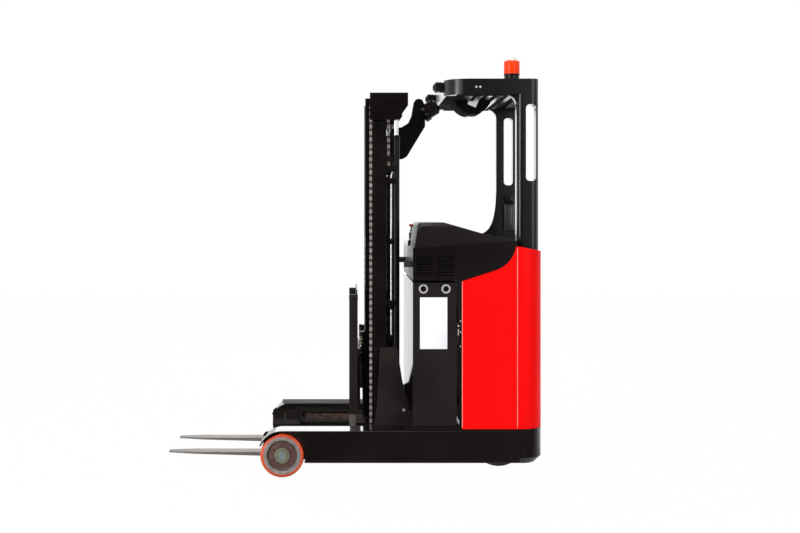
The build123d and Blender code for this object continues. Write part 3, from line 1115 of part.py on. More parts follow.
# Load backrest: a frame of side bars, a top bar and upright slats
with BuildPart() as load_backrest:
    rail_z = (BACKREST_TOP - BACKREST_RAIL, BACKREST_TOP)
    for bar_y in both((FORK_BAR_HALF_Y, FORK_BAR_HALF_Y + BACKREST_SIDE)):
        block(BACKREST_X, bar_y, (BACKREST_LOW, rail_z[0]))
    slat_x = (FORK_BAR_X[0], FORK_BAR_X[0] + SLAT_THICK)
    rail_half = FORK_BAR_HALF_Y + BACKREST_SIDE
    block(slat_x, (-rail_half, rail_half), (rail_z[0] - BACKREST_RAIL, rail_z[1]))
    for place in SLAT_PLACES:
        block(slat_x, about(place * FORK_BAR_HALF_Y, SLAT_WIDE), (HIGH_BAR_Z[1], rail_z[0] - BACKREST_RAIL))
save(load_backrest, "load_backrest")

# Forks: a shank hung on the bars, a rounded heel and a blade that tapers to its tip
with BuildPart() as forks:
    tip_x = FORK_FACE_X - FORK_LENGTH
    heel_x = FORK_FACE_X + FORK_SHANK
    heel_z = FORK_TOP - FORK_HEEL
    for fork_y in (-FORK_Y, FORK_Y):
        with BuildSketch(side_plane(fork_y + FORK_WIDE / 2)):
            Polygon(
                (FORK_FACE_X, SHANK_TOP),
                (heel_x, SHANK_TOP),
                (heel_x, heel_z),
                (FORK_FACE_X - FORK_LENGTH * FORK_TAPER, heel_z),
                (tip_x, FORK_TOP - FORK_TIP),
                (tip_x, FORK_TOP),
                (FORK_FACE_X, FORK_TOP),
                align=None,
            )
        extrude(amount=FORK_WIDE)
        for edge in (-1, 1):
            with BuildSketch(Plane.XY):
                Polygon(
                    (tip_x + FORK_TIP_LENGTH, fork_y + edge * FORK_WIDE / 2),
                    (tip_x, fork_y + edge * FORK_TIP_WIDE / 2),
                    (tip_x, fork_y + edge * FORK_WIDE / 2),
                    align=None,
                )
            extrude(amount=2 * FORK_TOP, mode=Mode.SUBTRACT)
    heels = forks.edges().filter_by(Axis.Y)
    fillet(heels.filter_by(lambda e: e.center().X > heel_x - 1 and e.center().Z < heel_z + 1), FORK_HEEL_R)
save(forks, "forks")

# Drive unit: turntable, fork arms and axle, steered about the upright shaft
with BuildPart() as drive_yoke:
    plate_top = TURRET_TOP - TURRET_WALL - MOVE_GAP
    rod("z", DRIVE_X, DRIVE_Y, (plate_top - YOKE_PLATE, plate_top), DRIVE_WELL_R - YOKE_PLATE)
    rod("z", DRIVE_X, DRIVE_Y, (plate_top, TURRET_TOP + 6), STEER_SHAFT_R)
    arm_in = DRIVE_WHEEL_W / 2 + 7
    for arm in both((arm_in, arm_in + YOKE_ARM)):
        arm_y = (DRIVE_Y + arm[0], DRIVE_Y + arm[1])
        block(about(DRIVE_X, 2 * YOKE_ARM_R), arm_y, (DRIVE_WHEEL_R, plate_top - YOKE_PLATE))
        rod("y", DRIVE_X, DRIVE_WHEEL_R, arm_y, YOKE_ARM_R)
    rod("y", DRIVE_X, DRIVE_WHEEL_R, about(DRIVE_Y, 2 * arm_in), DRIVE_AXLE_R)
save(drive_yoke, "drive_yoke")

# Drive motor, upright on the steered shaft
with BuildPart() as drive_motor:
    rod("z", DRIVE_X, DRIVE_Y, (TURRET_TOP + 6, TURRET_TOP + 6 + MOTOR_HIGH), MOTOR_R)
    chamfer(drive_motor.edges().filter_by(GeomType.CIRCLE), 10)
save(drive_motor, "drive_motor")

# Drive wheel: hub and tyre
with BuildPart() as drive_hub:
    rod("y", DRIVE_X, DRIVE_WHEEL_R, about(DRIVE_Y, DRIVE_WHEEL_W), DRIVE_HUB_R)
    bearing_r = DRIVE_AXLE_R + RUN_GAP
    rod("y", DRIVE_X, DRIVE_WHEEL_R, about(DRIVE_Y, DRIVE_WHEEL_W), bearing_r, Mode.SUBTRACT)
save(drive_hub, "drive_hub")
with BuildPart() as drive_tyre:
    rod("y", DRIVE_X, DRIVE_WHEEL_R, about(DRIVE_Y, DRIVE_WHEEL_W), DRIVE_WHEEL_R)
    chamfer(drive_tyre.edges().filter_by(GeomType.CIRCLE), 8)
    rod("y", DRIVE_X, DRIVE_WHEEL_R, about(DRIVE_Y, DRIVE_WHEEL_W), DRIVE_HUB_R, Mode.SUBTRACT)
save(drive_tyre, "drive_tyre")

# Swivel castor: kingpin, head plate and a stem between twin wheels
with BuildPart() as caster_fork:
    head_top = BASE_TOP - CASTER_PLATE - MOVE_GAP
    rod("z", CASTER_X, CASTER_Y, (head_top - CASTER_HEAD, head_top), CASTER_HEAD_R)
    rod("z", CASTER_X, CASTER_Y, (head_top, BASE_TOP - 2), KINGPIN_R)
    stem = CASTER_GAP / 2 - 3
    axle_x = CASTER_X + CASTER_TRAIL
    eye_r = CASTER_AXLE_R + 12
    with BuildSketch(side_plane(CASTER_Y + stem)):
        Polygon(
            (CASTER_X - CASTER_HEAD_R * 0.65, head_top - CASTER_HEAD),
            (CASTER_X + CASTER_HEAD_R * 0.8, head_top - CASTER_HEAD),
            (axle_x + eye_r, CASTER_R),
            (axle_x, CASTER_R - eye_r),
            (axle_x - eye_r, CASTER_R),
            align=None,
        )
    extrude(amount=2 * stem)
    axle_half = CASTER_GAP / 2 + CASTER_W - 2
    rod("y", axle_x, CASTER_R, about(CASTER_Y, 2 * axle_half), CASTER_AXLE_R)
save(caster_fork, "caster_fork")
with BuildPart() as caster_wheels:
    for side in (-1, 1):
        wheel_y = about(CASTER_Y + side * (CASTER_GAP + CASTER_W) / 2, CASTER_W)
        rod("y", axle_x, CASTER_R, wheel_y, CASTER_R)
        rod("y", axle_x, CASTER_R, wheel_y, CASTER_AXLE_R + RUN_GAP, Mode.SUBTRACT)
save(caster_wheels, "caster_wheels")

# Lamp arm on the outer mast, a bent plate that lifts the work lamp to roof height
with BuildPart() as lamp_arm:
    with BuildSketch(side_plane(ARM_HALF_Y)):
        Polygon(*[(ARM_X + run, MAST_HEIGHT + rise) for run, rise in ARM_OUTLINE], align=None)
    extrude(amount=2 * ARM_HALF_Y)
    with Locations(Location((LAMP_X, 0, LAMP_Z), (0, LAMP_TILT, 0))):
        Box(*LAMP_SIZE, mode=Mode.SUBTRACT)
save(lamp_arm, "lamp_arm")
with BuildPart() as work_lamp:
    with Locations(Location((LAMP_X, 0, LAMP_Z), (0, LAMP_TILT, 0))):
        Box(*LAMP_SIZE)
    knuckle_y = (-ARM_HALF_Y, ARM_HALF_Y)
    rod("y", LAMP_X, LAMP_Z - KNUCKLE_DROP, knuckle_y, KNUCKLE_R)
save(work_lamp, "work_lamp")
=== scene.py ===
"""Studio scene of a stand-on reach truck: finishes, fittings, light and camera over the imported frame.

Every piece is in metres in the frame of the solids: +Z up, forks along -X, left side at -Y.
"""

import json
import logging
import math
from collections.abc import Sequence
from dataclasses import dataclass
from enum import Enum

import bmesh
import bpy
from mathutils import Matrix, Vector

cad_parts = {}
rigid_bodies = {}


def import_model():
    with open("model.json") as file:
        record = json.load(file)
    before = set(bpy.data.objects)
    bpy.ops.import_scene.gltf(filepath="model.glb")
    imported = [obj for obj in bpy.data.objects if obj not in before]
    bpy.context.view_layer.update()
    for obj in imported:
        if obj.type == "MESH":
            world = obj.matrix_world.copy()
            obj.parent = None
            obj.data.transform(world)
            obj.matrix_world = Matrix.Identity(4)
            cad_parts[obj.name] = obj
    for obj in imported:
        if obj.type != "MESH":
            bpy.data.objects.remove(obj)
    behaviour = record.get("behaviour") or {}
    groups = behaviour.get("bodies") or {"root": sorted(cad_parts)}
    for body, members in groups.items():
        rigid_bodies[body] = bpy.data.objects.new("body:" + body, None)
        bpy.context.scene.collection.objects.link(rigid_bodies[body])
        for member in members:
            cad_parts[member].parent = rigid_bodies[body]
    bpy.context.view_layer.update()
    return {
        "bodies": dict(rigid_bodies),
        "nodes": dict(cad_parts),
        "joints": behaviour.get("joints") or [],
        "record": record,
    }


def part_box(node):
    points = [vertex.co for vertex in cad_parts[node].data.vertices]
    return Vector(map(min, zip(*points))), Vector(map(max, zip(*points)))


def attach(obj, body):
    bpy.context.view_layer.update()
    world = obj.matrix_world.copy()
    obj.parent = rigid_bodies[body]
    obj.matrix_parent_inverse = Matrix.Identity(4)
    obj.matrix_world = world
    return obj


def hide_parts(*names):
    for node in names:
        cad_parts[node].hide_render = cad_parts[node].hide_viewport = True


LOG = logging.getLogger("reach_truck")
Point = tuple[float, float, float]
Color = tuple[float, float, float]
Span = tuple[Point, Point]
Profile = tuple[tuple[float, float], ...]

UP: Point = (0.0, 0.0, 1.0)
DOWN: Point = (0.0, 0.0, -1.0)
LEFT: Point = (0.0, -1.0, 0.0)
RIGHT: Point = (0.0, 1.0, 0.0)
FRONT: Point = (-1.0, 0.0, 0.0)
REAR: Point = (1.0, 0.0, 0.0)


class Grain(Enum):
    """How the surface of a finish is broken up."""

    PEEL = "fine orange peel of sprayed paint"
    POWDER = "grainy powder coat"
    LEATHER = "moulded plastic grain"
    BRUSHED = "fine lines along one axis"
    CAST = "coarse sand casting"
    PLAIN = "almost smooth"


# Cells per metre, octaves and depth of each grain
GRAIN_RELIEF: dict[Grain, tuple[float, float, float]] = {
    Grain.PEEL: (260.0, 2.0, 0.0006),
    Grain.POWDER: (620.0, 3.0, 0.0007),
    Grain.LEATHER: (480.0, 2.0, 0.0009),
    Grain.BRUSHED: (300.0, 3.0, 0.0004),
    Grain.CAST: (210.0, 5.0, 0.0016),
    Grain.PLAIN: (40.0, 2.0, 0.0004),
}
PATCH_OCTAVES = 4.0
PATCH_BAND = (0.38, 0.62)
NOISE_BAND = (0.3, 0.7)
SCRATCH_STRETCH = (9.0, 160.0, 160.0)
SCRATCH_OCTAVES = 3.0
SCRATCH_BAND = (0.6, 0.78)
DUST_FLOOR = 0.02


@dataclass(frozen=True)
class Finish:
    """One surface finish, turned into a node material on first use."""

    name: str
    color: Color
    second: Color
    roughness: float
    spread: float = 0.08
    metallic: float = 0.0
    coat: float = 0.0
    coat_rough: float = 0.06
    grain: Grain = Grain.PEEL
    bump: float = 0.1
    patch_scale: float = 3.0
    dust: float = 0.0
    dust_color: Color = (0.16, 0.13, 0.11)
    dust_top: float = 0.45
    scuffs: float = 0.0
    scuff_color: Color = (0.3, 0.28, 0.27)
    specular: float = 0.5
    transmission: float = 0.0
    glow: float = 0.0

    def material(self) -> bpy.types.Material:
        """Returns the node material of this finish, built once.

        Returns:
            The material with colour, roughness and bump from procedural nodes.
        """
        known = bpy.data.materials.get(self.name)
        if known:
            return known
        made = bpy.data.materials.new(self.name)
        made.use_nodes = True
        made.diffuse_color = (*self.color, 1.0)
        tree = made.node_tree
        shader = tree.nodes["Principled BSDF"]
        shader.inputs["Metallic"].default_value = self.metallic
        shader.inputs["Coat Weight"].default_value = self.coat
        shader.inputs["Coat Roughness"].default_value = self.coat_rough
        shader.inputs["Specular IOR Level"].default_value = self.specular
        shader.inputs["Transmission Weight"].default_value = self.transmission
        if self.glow:
            shader.inputs["Emission Color"].default_value = (*self.color, 1.0)
            shader.inputs["Emission Strength"].default_value = self.glow
        place = tree.nodes.new("ShaderNodeTexCoord")
        patches = self._noise(tree, place, self.patch_scale, PATCH_OCTAVES)
        tone = self._blend(tree, patches, self.color, self.second, *PATCH_BAND)
        if self.scuffs:
            tone = self._scuff(tree, place, tone)
        if self.dust:
            tone = self._dusty(tree, place, tone, patches)
        tree.links.new(tone, shader.inputs["Base Color"])
        rough = self._range(tree, patches, self.roughness - self.spread, self.roughness + self.spread)
        tree.links.new(rough, shader.inputs["Roughness"])
        tree.links.new(self._relief(tree, place), shader.inputs["Normal"])
        return made

    def _noise(
        self, tree: bpy.types.NodeTree, place: bpy.types.Node, scale: float, detail: float
    ) -> bpy.types.NodeSocket:
        """Adds a noise over object coordinates.

        Args:
            tree: The node tree that gets the noise.
            place: The texture coordinate node.
            scale: Noise cells per metre.
            detail: Octaves of the noise.

        Returns:
            The socket with the noise value.
        """
        noise = tree.nodes.new("ShaderNodeTexNoise")
        noise.inputs["Scale"].default_value = scale
        noise.inputs["Detail"].default_value = detail
        tree.links.new(place.outputs["Object"], noise.inputs["Vector"])
        return noise.outputs["Fac"]

    def _range(
        self, tree: bpy.types.NodeTree, value: bpy.types.NodeSocket, low: float, high: float
    ) -> bpy.types.NodeSocket:
        """Maps a noise value to a narrow range.

        Args:
            tree: The node tree.
            value: The socket to map.
            low: Result for a low noise value.
            high: Result for a high noise value.

        Returns:
            The mapped socket.
        """
        span = tree.nodes.new("ShaderNodeMapRange")
        span.inputs["From Min"].default_value, span.inputs["From Max"].default_value = NOISE_BAND
        span.inputs["To Min"].default_value = max(low, 0.02)
        span.inputs["To Max"].default_value = min(high, 1.0)
        tree.links.new(value, span.inputs["Value"])
        return span.outputs["Result"]

    def _blend(
        self,
        tree: bpy.types.NodeTree,
        value: bpy.types.NodeSocket,
        first: Color,
        second: Color,
        low: float,
        high: float,
    ) -> bpy.types.NodeSocket:
        """Blends two colours by a value.

        Args:
            tree: The node tree.
            value: The socket that decides.
            first: Colour below the low value.
            second: Colour above the high value.
            low: Value where the blend starts.
            high: Value where the blend ends.

        Returns:
            The colour socket.
        """
        ramp = tree.nodes.new("ShaderNodeValToRGB")
        ramp.color_ramp.elements[0].position = low
        ramp.color_ramp.elements[0].color = (*first, 1.0)
        ramp.color_ramp.elements[1].position = high
        ramp.color_ramp.elements[1].color = (*second, 1.0)
        tree.links.new(value, ramp.inputs["Fac"])
        return ramp.outputs["Color"]

    def _over(
        self,
        tree: bpy.types.NodeTree,
        mask: bpy.types.NodeSocket,
        below: bpy.types.NodeSocket,
        color: Color,
    ) -> bpy.types.NodeSocket:
        """Lays a colour over another where a mask is high.

        Args:
            tree: The node tree.
            mask: Socket from 0 to 1.
            below: Colour socket under the layer.
            color: Colour of the layer.

        Returns:
            The mixed colour socket.
        """
        mix = tree.nodes.new("ShaderNodeMix")
        mix.data_type = "RGBA"
        mix.inputs["B"].default_value = (*color, 1.0)
        tree.links.new(mask, mix.inputs["Factor"])
        tree.links.new(below, mix.inputs["A"])
        return mix.outputs["Result"]

    def _scuff(
        self, tree: bpy.types.NodeTree, place: bpy.types.Node, tone: bpy.types.NodeSocket
    ) -> bpy.types.NodeSocket:
        """Adds fine long scratches.

        Args:
            tree: The node tree.
            place: The texture coordinate node.
            tone: Colour under the scratches.

        Returns:
            The scratched colour socket.
        """
        stretch = tree.nodes.new("ShaderNodeMapping")
        stretch.inputs["Scale"].default_value = SCRATCH_STRETCH
        tree.links.new(place.outputs["Object"], stretch.inputs["Vector"])
        lines = tree.nodes.new("ShaderNodeTexNoise")
        lines.inputs["Scale"].default_value = 1.0
        lines.inputs["Detail"].default_value = SCRATCH_OCTAVES
        tree.links.new(stretch.outputs["Vector"], lines.inputs["Vector"])
        mask = tree.nodes.new("ShaderNodeMapRange")
        mask.inputs["From Min"].default_value, mask.inputs["From Max"].default_value = SCRATCH_BAND
        mask.inputs["To Max"].default_value = self.scuffs
        tree.links.new(lines.outputs["Fac"], mask.inputs["Value"])
        return self._over(tree, mask.outputs["Result"], tone, self.scuff_color)

    def _dusty(
        self,
        tree: bpy.types.NodeTree,
        place: bpy.types.Node,
        tone: bpy.types.NodeSocket,
        patches: bpy.types.NodeSocket,
    ) -> bpy.types.NodeSocket:
        """Adds floor dust that fades out with height.

        Args:
            tree: The node tree.
            place: The texture coordinate node.
            tone: Colour under the dust.
            patches: Noise that breaks the dust up.

        Returns:
            The dusted colour socket.
        """
        parts = tree.nodes.new("ShaderNodeSeparateXYZ")
        tree.links.new(place.outputs["Object"], parts.inputs["Vector"])
        height = tree.nodes.new("ShaderNodeMapRange")
        height.inputs["From Min"].default_value = self.dust_top
        height.inputs["From Max"].default_value = DUST_FLOOR
        height.inputs["To Max"].default_value = self.dust
        tree.links.new(parts.outputs["Z"], height.inputs["Value"])
        broken = tree.nodes.new("ShaderNodeMath")
        broken.operation = "MULTIPLY"
        tree.links.new(height.outputs["Result"], broken.inputs[0])
        tree.links.new(patches, broken.inputs[1])
        return self._over(tree, broken.outputs["Value"], tone, self.dust_color)

    def _relief(self, tree: bpy.types.NodeTree, place: bpy.types.Node) -> bpy.types.NodeSocket:
        """Makes the fine bump of the grain.

        Args:
            tree: The node tree.
            place: The texture coordinate node.

        Returns:
            The normal socket.
        """
        scale, detail, depth = GRAIN_RELIEF[self.grain]
        bump = tree.nodes.new("ShaderNodeBump")
        bump.inputs["Strength"].default_value = self.bump
        bump.inputs["Distance"].default_value = depth
        if self.grain is Grain.LEATHER:
            cells = tree.nodes.new("ShaderNodeTexVoronoi")
            cells.inputs["Scale"].default_value = scale
            tree.links.new(place.outputs["Object"], cells.inputs["Vector"])
            tree.links.new(cells.outputs["Distance"], bump.inputs["Height"])
        else:
            tree.links.new(self._noise(tree, place, scale, detail), bump.inputs["Height"])
        return bump.outputs["Normal"]


RED = Finish(
    "red_panel_paint", color=(0.93, 0.0005, 0.0005), second=(0.87, 0.0004, 0.0005), roughness=0.38,
    spread=0.05, coat=0.03, bump=0.05, specular=0.08,
)
BLACK = Finish(
    "black_chassis_paint", color=(0.0052, 0.0031, 0.0032), second=(0.0085, 0.0054, 0.0052),
    roughness=0.36, spread=0.08, coat=1.0, grain=Grain.POWDER, bump=0.2, dust=0.03,
    dust_color=(0.07, 0.048, 0.045), scuffs=0.03, scuff_color=(0.05, 0.036, 0.034), specular=0.08,
)
GUARD = Finish(
    "guard_paint", color=(0.0042, 0.0026, 0.0027), second=(0.0070, 0.0045, 0.0044), roughness=0.40,
    spread=0.08, coat=0.7, coat_rough=0.2, grain=Grain.POWDER, bump=0.2, specular=0.15,
)
CHARCOAL = Finish(
    "charcoal_battery_paint", color=(0.0120, 0.0082, 0.0086), second=(0.0165, 0.0117, 0.0118),
    roughness=0.42, spread=0.07, coat=0.9, coat_rough=0.04, grain=Grain.POWDER, bump=0.3, specular=0.15,
)
MAST = Finish(
    "mast_paint", color=(0.0032, 0.0017, 0.0018), second=(0.0062, 0.0037, 0.0035), roughness=0.40,
    spread=0.1, coat=0.15, coat_rough=0.2, grain=Grain.POWDER, bump=0.2, scuffs=0.12,
    scuff_color=(0.045, 0.030, 0.027), specular=0.1,
)
CARRIAGE = Finish(
    "carriage_paint", color=(0.0130, 0.0086, 0.0088), second=(0.0210, 0.0145, 0.0140), roughness=0.42,
    spread=0.1, coat=0.1, coat_rough=0.2, grain=Grain.POWDER, bump=0.3, scuffs=0.25,
    scuff_color=(0.09, 0.062, 0.058), specular=0.15,
)
FORK = Finish(
    "fork_steel", color=(0.10, 0.085, 0.087), second=(0.16, 0.14, 0.14), roughness=0.40, spread=0.12,
    metallic=0.8, grain=Grain.CAST, bump=0.2, scuffs=0.6, scuff_color=(0.42, 0.40, 0.40),
)
STEEL = Finish(
    "machined_steel", color=(0.52, 0.50, 0.48), second=(0.42, 0.40, 0.38), roughness=0.33, spread=0.1,
    metallic=1.0, grain=Grain.BRUSHED, bump=0.25, patch_scale=14.0,
)
# Painted highlight: the outer chain plates get a lighter steel that copies their highlights.
CHAIN_HIGHLIGHT = Finish(
    "chain_plate_painted_highlight", color=(0.56, 0.52, 0.50), second=(0.34, 0.30, 0.28), roughness=0.34, spread=0.1,
    metallic=0.35, grain=Grain.BRUSHED, bump=0.2, patch_scale=60.0,
)
# Painted shade: the inner chain leaves and pins get near-black for the shade between the outer plates.
CHAIN_SHADE = Finish(
    "chain_leaf_painted_shade", color=(0.020, 0.014, 0.013), second=(0.011, 0.008, 0.008), roughness=0.45,
    spread=0.1, metallic=0.4, grain=Grain.PLAIN,
)
CHROME = Finish(
    "rod_chrome", color=(0.80, 0.80, 0.81), second=(0.72, 0.72, 0.73), roughness=0.10, spread=0.04,
    metallic=1.0, grain=Grain.PLAIN,
)
ZINC = Finish(
    "yellow_zinc", color=(0.62, 0.56, 0.28), second=(0.44, 0.50, 0.38), roughness=0.3, spread=0.08,
    metallic=0.85, grain=Grain.PLAIN, patch_scale=45.0,
)
HUB = Finish(
    "hub_steel", color=(0.50, 0.45, 0.43), second=(0.33, 0.28, 0.26), roughness=0.34, spread=0.1,
    metallic=0.6, grain=Grain.BRUSHED, bump=0.3, patch_scale=30.0,
)
CAP_EYE = Finish(
    "cap_middle_steel", color=(0.40, 0.44, 0.46), second=(0.30, 0.34, 0.37), roughness=0.3, spread=0.08,
    metallic=0.6, grain=Grain.BRUSHED, patch_scale=60.0,
)
DISH = Finish(
    "oxide_dish_paint", color=(0.13, 0.060, 0.050), second=(0.085, 0.040, 0.034), roughness=0.5,
    spread=0.1, metallic=0.2, grain=Grain.CAST, bump=0.25, patch_scale=26.0,
)
URETHANE = Finish(
    "orange_urethane", color=(0.72, 0.085, 0.014), second=(0.60, 0.060, 0.010), roughness=0.36,
    spread=0.1, grain=Grain.PLAIN, bump=0.2, dust=0.5, dust_color=(0.16, 0.05, 0.025), dust_top=0.12,
)
RUBBER = Finish(
    "black_rubber", color=(0.018, 0.016, 0.016), second=(0.030, 0.028, 0.026), roughness=0.72, spread=0.1,
    grain=Grain.CAST, bump=0.3, dust=0.4,
)
MAT = Finish(
    "ribbed_mat_rubber", color=(0.014, 0.014, 0.014), second=(0.024, 0.023, 0.022), roughness=0.75,
    spread=0.08, grain=Grain.LEATHER, bump=0.4,
)
PLASTIC = Finish(
    "black_moulding", color=(0.0055, 0.0034, 0.0037), second=(0.0085, 0.0057, 0.0058), roughness=0.34,
    spread=0.06, coat=0.3, coat_rough=0.1, grain=Grain.LEATHER, bump=0.14, specular=0.15,
)
COWL = Finish(
    "cowl_moulding", color=(0.0085, 0.0054, 0.0056), second=(0.0125, 0.0086, 0.0086), roughness=0.44,
    spread=0.06, coat=0.25, coat_rough=0.22, grain=Grain.LEATHER, bump=0.18, specular=0.2,
)
LINING = Finish(
    "matt_roof_lining", color=(0.0045, 0.0030, 0.0031), second=(0.0070, 0.0050, 0.0050), roughness=0.85,
    spread=0.1, grain=Grain.LEATHER, bump=0.2, specular=0.03,
)
# Painted shade: near-black laid on hole floors, seams, grooves, slots, backs and stems that sit in shade.
PAINTED_SHADE = Finish(
    "painted_shade_black", color=(0.0030, 0.0025, 0.0025), second=(0.0050, 0.0042, 0.0042), roughness=0.7,
    spread=0.1, grain=Grain.POWDER, bump=0.1,
)
VINYL = Finish(
    "padded_vinyl", color=(0.0260, 0.0215, 0.0220), second=(0.0380, 0.0320, 0.0325), roughness=0.34,
    spread=0.08, grain=Grain.LEATHER, bump=0.4, coat=0.5, coat_rough=0.2,
)
CAST = Finish(
    "cast_grey_iron", color=(0.13, 0.13, 0.135), second=(0.09, 0.09, 0.092), roughness=0.6, spread=0.1,
    metallic=0.4, grain=Grain.CAST,
)
AMBER = Finish(
    "amber_lens", color=(0.98, 0.060, 0.002), second=(0.90, 0.042, 0.002), roughness=0.24, spread=0.04,
    grain=Grain.PLAIN, glow=0.12, specular=0.2, transmission=0.2,
)
CLEAR = Finish(
    "clear_cap", color=(0.93, 0.90, 0.85), second=(0.88, 0.86, 0.80), roughness=0.08, spread=0.03,
    grain=Grain.PLAIN, transmission=0.6,
)
STOP_RED = Finish(
    "stop_button_red", color=(0.58, 0.006, 0.010), second=(0.48, 0.005, 0.008), roughness=0.22,
    spread=0.05, grain=Grain.PLAIN,
)
LABEL = Finish(
    "blank_label_film", color=(0.88, 0.89, 0.91), second=(0.84, 0.85, 0.88), roughness=0.3, spread=0.06,
    grain=Grain.PLAIN, coat=0.3,
)
RING = Finish(
    "eye_ring_alloy", color=(0.78, 0.77, 0.76), second=(0.66, 0.65, 0.64), roughness=0.32, spread=0.08,
    metallic=0.55, grain=Grain.BRUSHED, bump=0.2, patch_scale=60.0,
)
BRIGHT = Finish(
    "bright_plated_pipe", color=(0.86, 0.86, 0.87), second=(0.78, 0.78, 0.80), roughness=0.28,
    spread=0.06, metallic=0.6, grain=Grain.PLAIN, patch_scale=30.0,
)
WORN = Finish(
    "worn_rail_track", color=(0.16, 0.085, 0.070), second=(0.055, 0.034, 0.030), roughness=0.38,
    spread=0.1, metallic=0.5, grain=Grain.BRUSHED, bump=0.3, patch_scale=26.0, scuffs=0.6,
    scuff_color=(0.34, 0.25, 0.22),
)
# Painted highlight: a light red laid along panel edges where the paint catches the light.
PANEL_HIGHLIGHT = Finish(
    "panel_edge_painted_highlight", color=(0.90, 0.42, 0.38), second=(0.84, 0.34, 0.30), roughness=0.3, spread=0.06,
    grain=Grain.PLAIN, patch_scale=18.0,
)
GLASS = Finish(
    "display_glass", color=(0.008, 0.010, 0.013), second=(0.011, 0.013, 0.016), roughness=0.08,
    spread=0.03, coat=1.0, grain=Grain.PLAIN,
)
LENS = Finish(
    "lamp_glass", color=(0.62, 0.63, 0.68), second=(0.48, 0.50, 0.56), roughness=0.12, spread=0.04,
    metallic=0.4, grain=Grain.PLAIN,
)

NODE_FINISH: dict[str, Finish] = {
    "support_legs": BLACK,
    "load_axles": BLACK,
    "load_hub_left": HUB,
    "load_hub_right": HUB,
    "load_tyre_left": URETHANE,
    "load_tyre_right": URETHANE,
    "base_frame": BLACK,
    "drive_turret": BLACK,
    "battery_case": CHARCOAL,
    "side_panel_left": RED,
    "side_panel_right": RED,
    "rear_corner_left": RED,
    "rear_corner_right": RED,
    "bulkhead": BLACK,
    "partition_wall": BLACK,
    "platform_mat": MAT,
    "pedals": MAT,
    "console_housing": PLASTIC,
    "console_top": COWL,
    "dash": PLASTIC,
    "steering_wheel": PLASTIC,
    "emergency_stop": STOP_RED,
    "control_levers": PLASTIC,
    "buffers": RUBBER,
    "overhead_guard": GUARD,
    "roof_console": LINING,
    "roof_lamp": PLASTIC,
    "beacon": AMBER,
    "pillar_fairing": GUARD,
    "back_pad": PLASTIC,
    "reach_frame": CARRIAGE,
    "reach_rollers": STEEL,
    "reach_barrel": MAST,
    "reach_rod": CHROME,
    "outer_mast": MAST,
    "lift_barrels": MAST,
    "lift_rods": CHROME,
    "middle_mast": MAST,
    "mast_head": MAST,
    "stage_sheaves": STEEL,
    "stage_chains": CHAIN_HIGHLIGHT,
    "inner_mast": MAST,
    "free_lift_barrel": MAST,
    "crosshead": MAST,
    "carriage_chains": CHAIN_HIGHLIGHT,
    "fork_carriage": CARRIAGE,
    "fork_frame": CARRIAGE,
    "load_backrest": CARRIAGE,
    "forks": FORK,
    "drive_yoke": CAST,
    "drive_motor": MAST,
    "drive_hub": CAST,
    "drive_tyre": RUBBER,
    "caster_fork": CAST,
    "caster_wheels": RUBBER,
    "lamp_arm": MAST,
    "work_lamp": PLASTIC,
}


@dataclass(frozen=True)
class Edge:
    """Rounding that a solid gets on its corners."""

    width: float
    segments: int = 2
    angle: float = 30.0


NODE_EDGE: dict[str, Edge] = {
    "support_legs": Edge(width=0.006, segments=3),
    "base_frame": Edge(width=0.005, segments=3),
    "drive_turret": Edge(width=0.004),
    "battery_case": Edge(width=0.004, segments=3),
    "side_panel_left": Edge(width=0.0045, segments=3),
    "side_panel_right": Edge(width=0.0045, segments=3),
    "rear_corner_left": Edge(width=0.0045, segments=3),
    "rear_corner_right": Edge(width=0.0045, segments=3),
    "console_housing": Edge(width=0.003, segments=2),
    "console_top": Edge(width=0.024, segments=5, angle=14.0),
    "dash": Edge(width=0.006, segments=3),
    "overhead_guard": Edge(width=0.005, segments=3),
    "roof_console": Edge(width=0.008, segments=3),
    "roof_lamp": Edge(width=0.004),
    "pillar_fairing": Edge(width=0.008, segments=3),
    "reach_frame": Edge(width=0.003),
    "outer_mast": Edge(width=0.002),
    "middle_mast": Edge(width=0.002),
    "inner_mast": Edge(width=0.002),
    "mast_head": Edge(width=0.002),
    "lamp_arm": Edge(width=0.005, segments=3),
    "fork_carriage": Edge(width=0.002),
    "fork_frame": Edge(width=0.002),
    "load_backrest": Edge(width=0.003, segments=3),
    "forks": Edge(width=0.003),
    "partition_wall": Edge(width=0.003),
    "bulkhead": Edge(width=0.002),
    "crosshead": Edge(width=0.002),
    "drive_yoke": Edge(width=0.003),
    "caster_fork": Edge(width=0.003),
    "drive_tyre": Edge(width=0.008, segments=3),
    "caster_wheels": Edge(width=0.005, segments=3),
    "steering_wheel": Edge(width=0.0025),
    "pedals": Edge(width=0.003),
    "platform_mat": Edge(width=0.003),
    "lift_barrels": Edge(width=0.002),
    "stage_sheaves": Edge(width=0.0015),
}


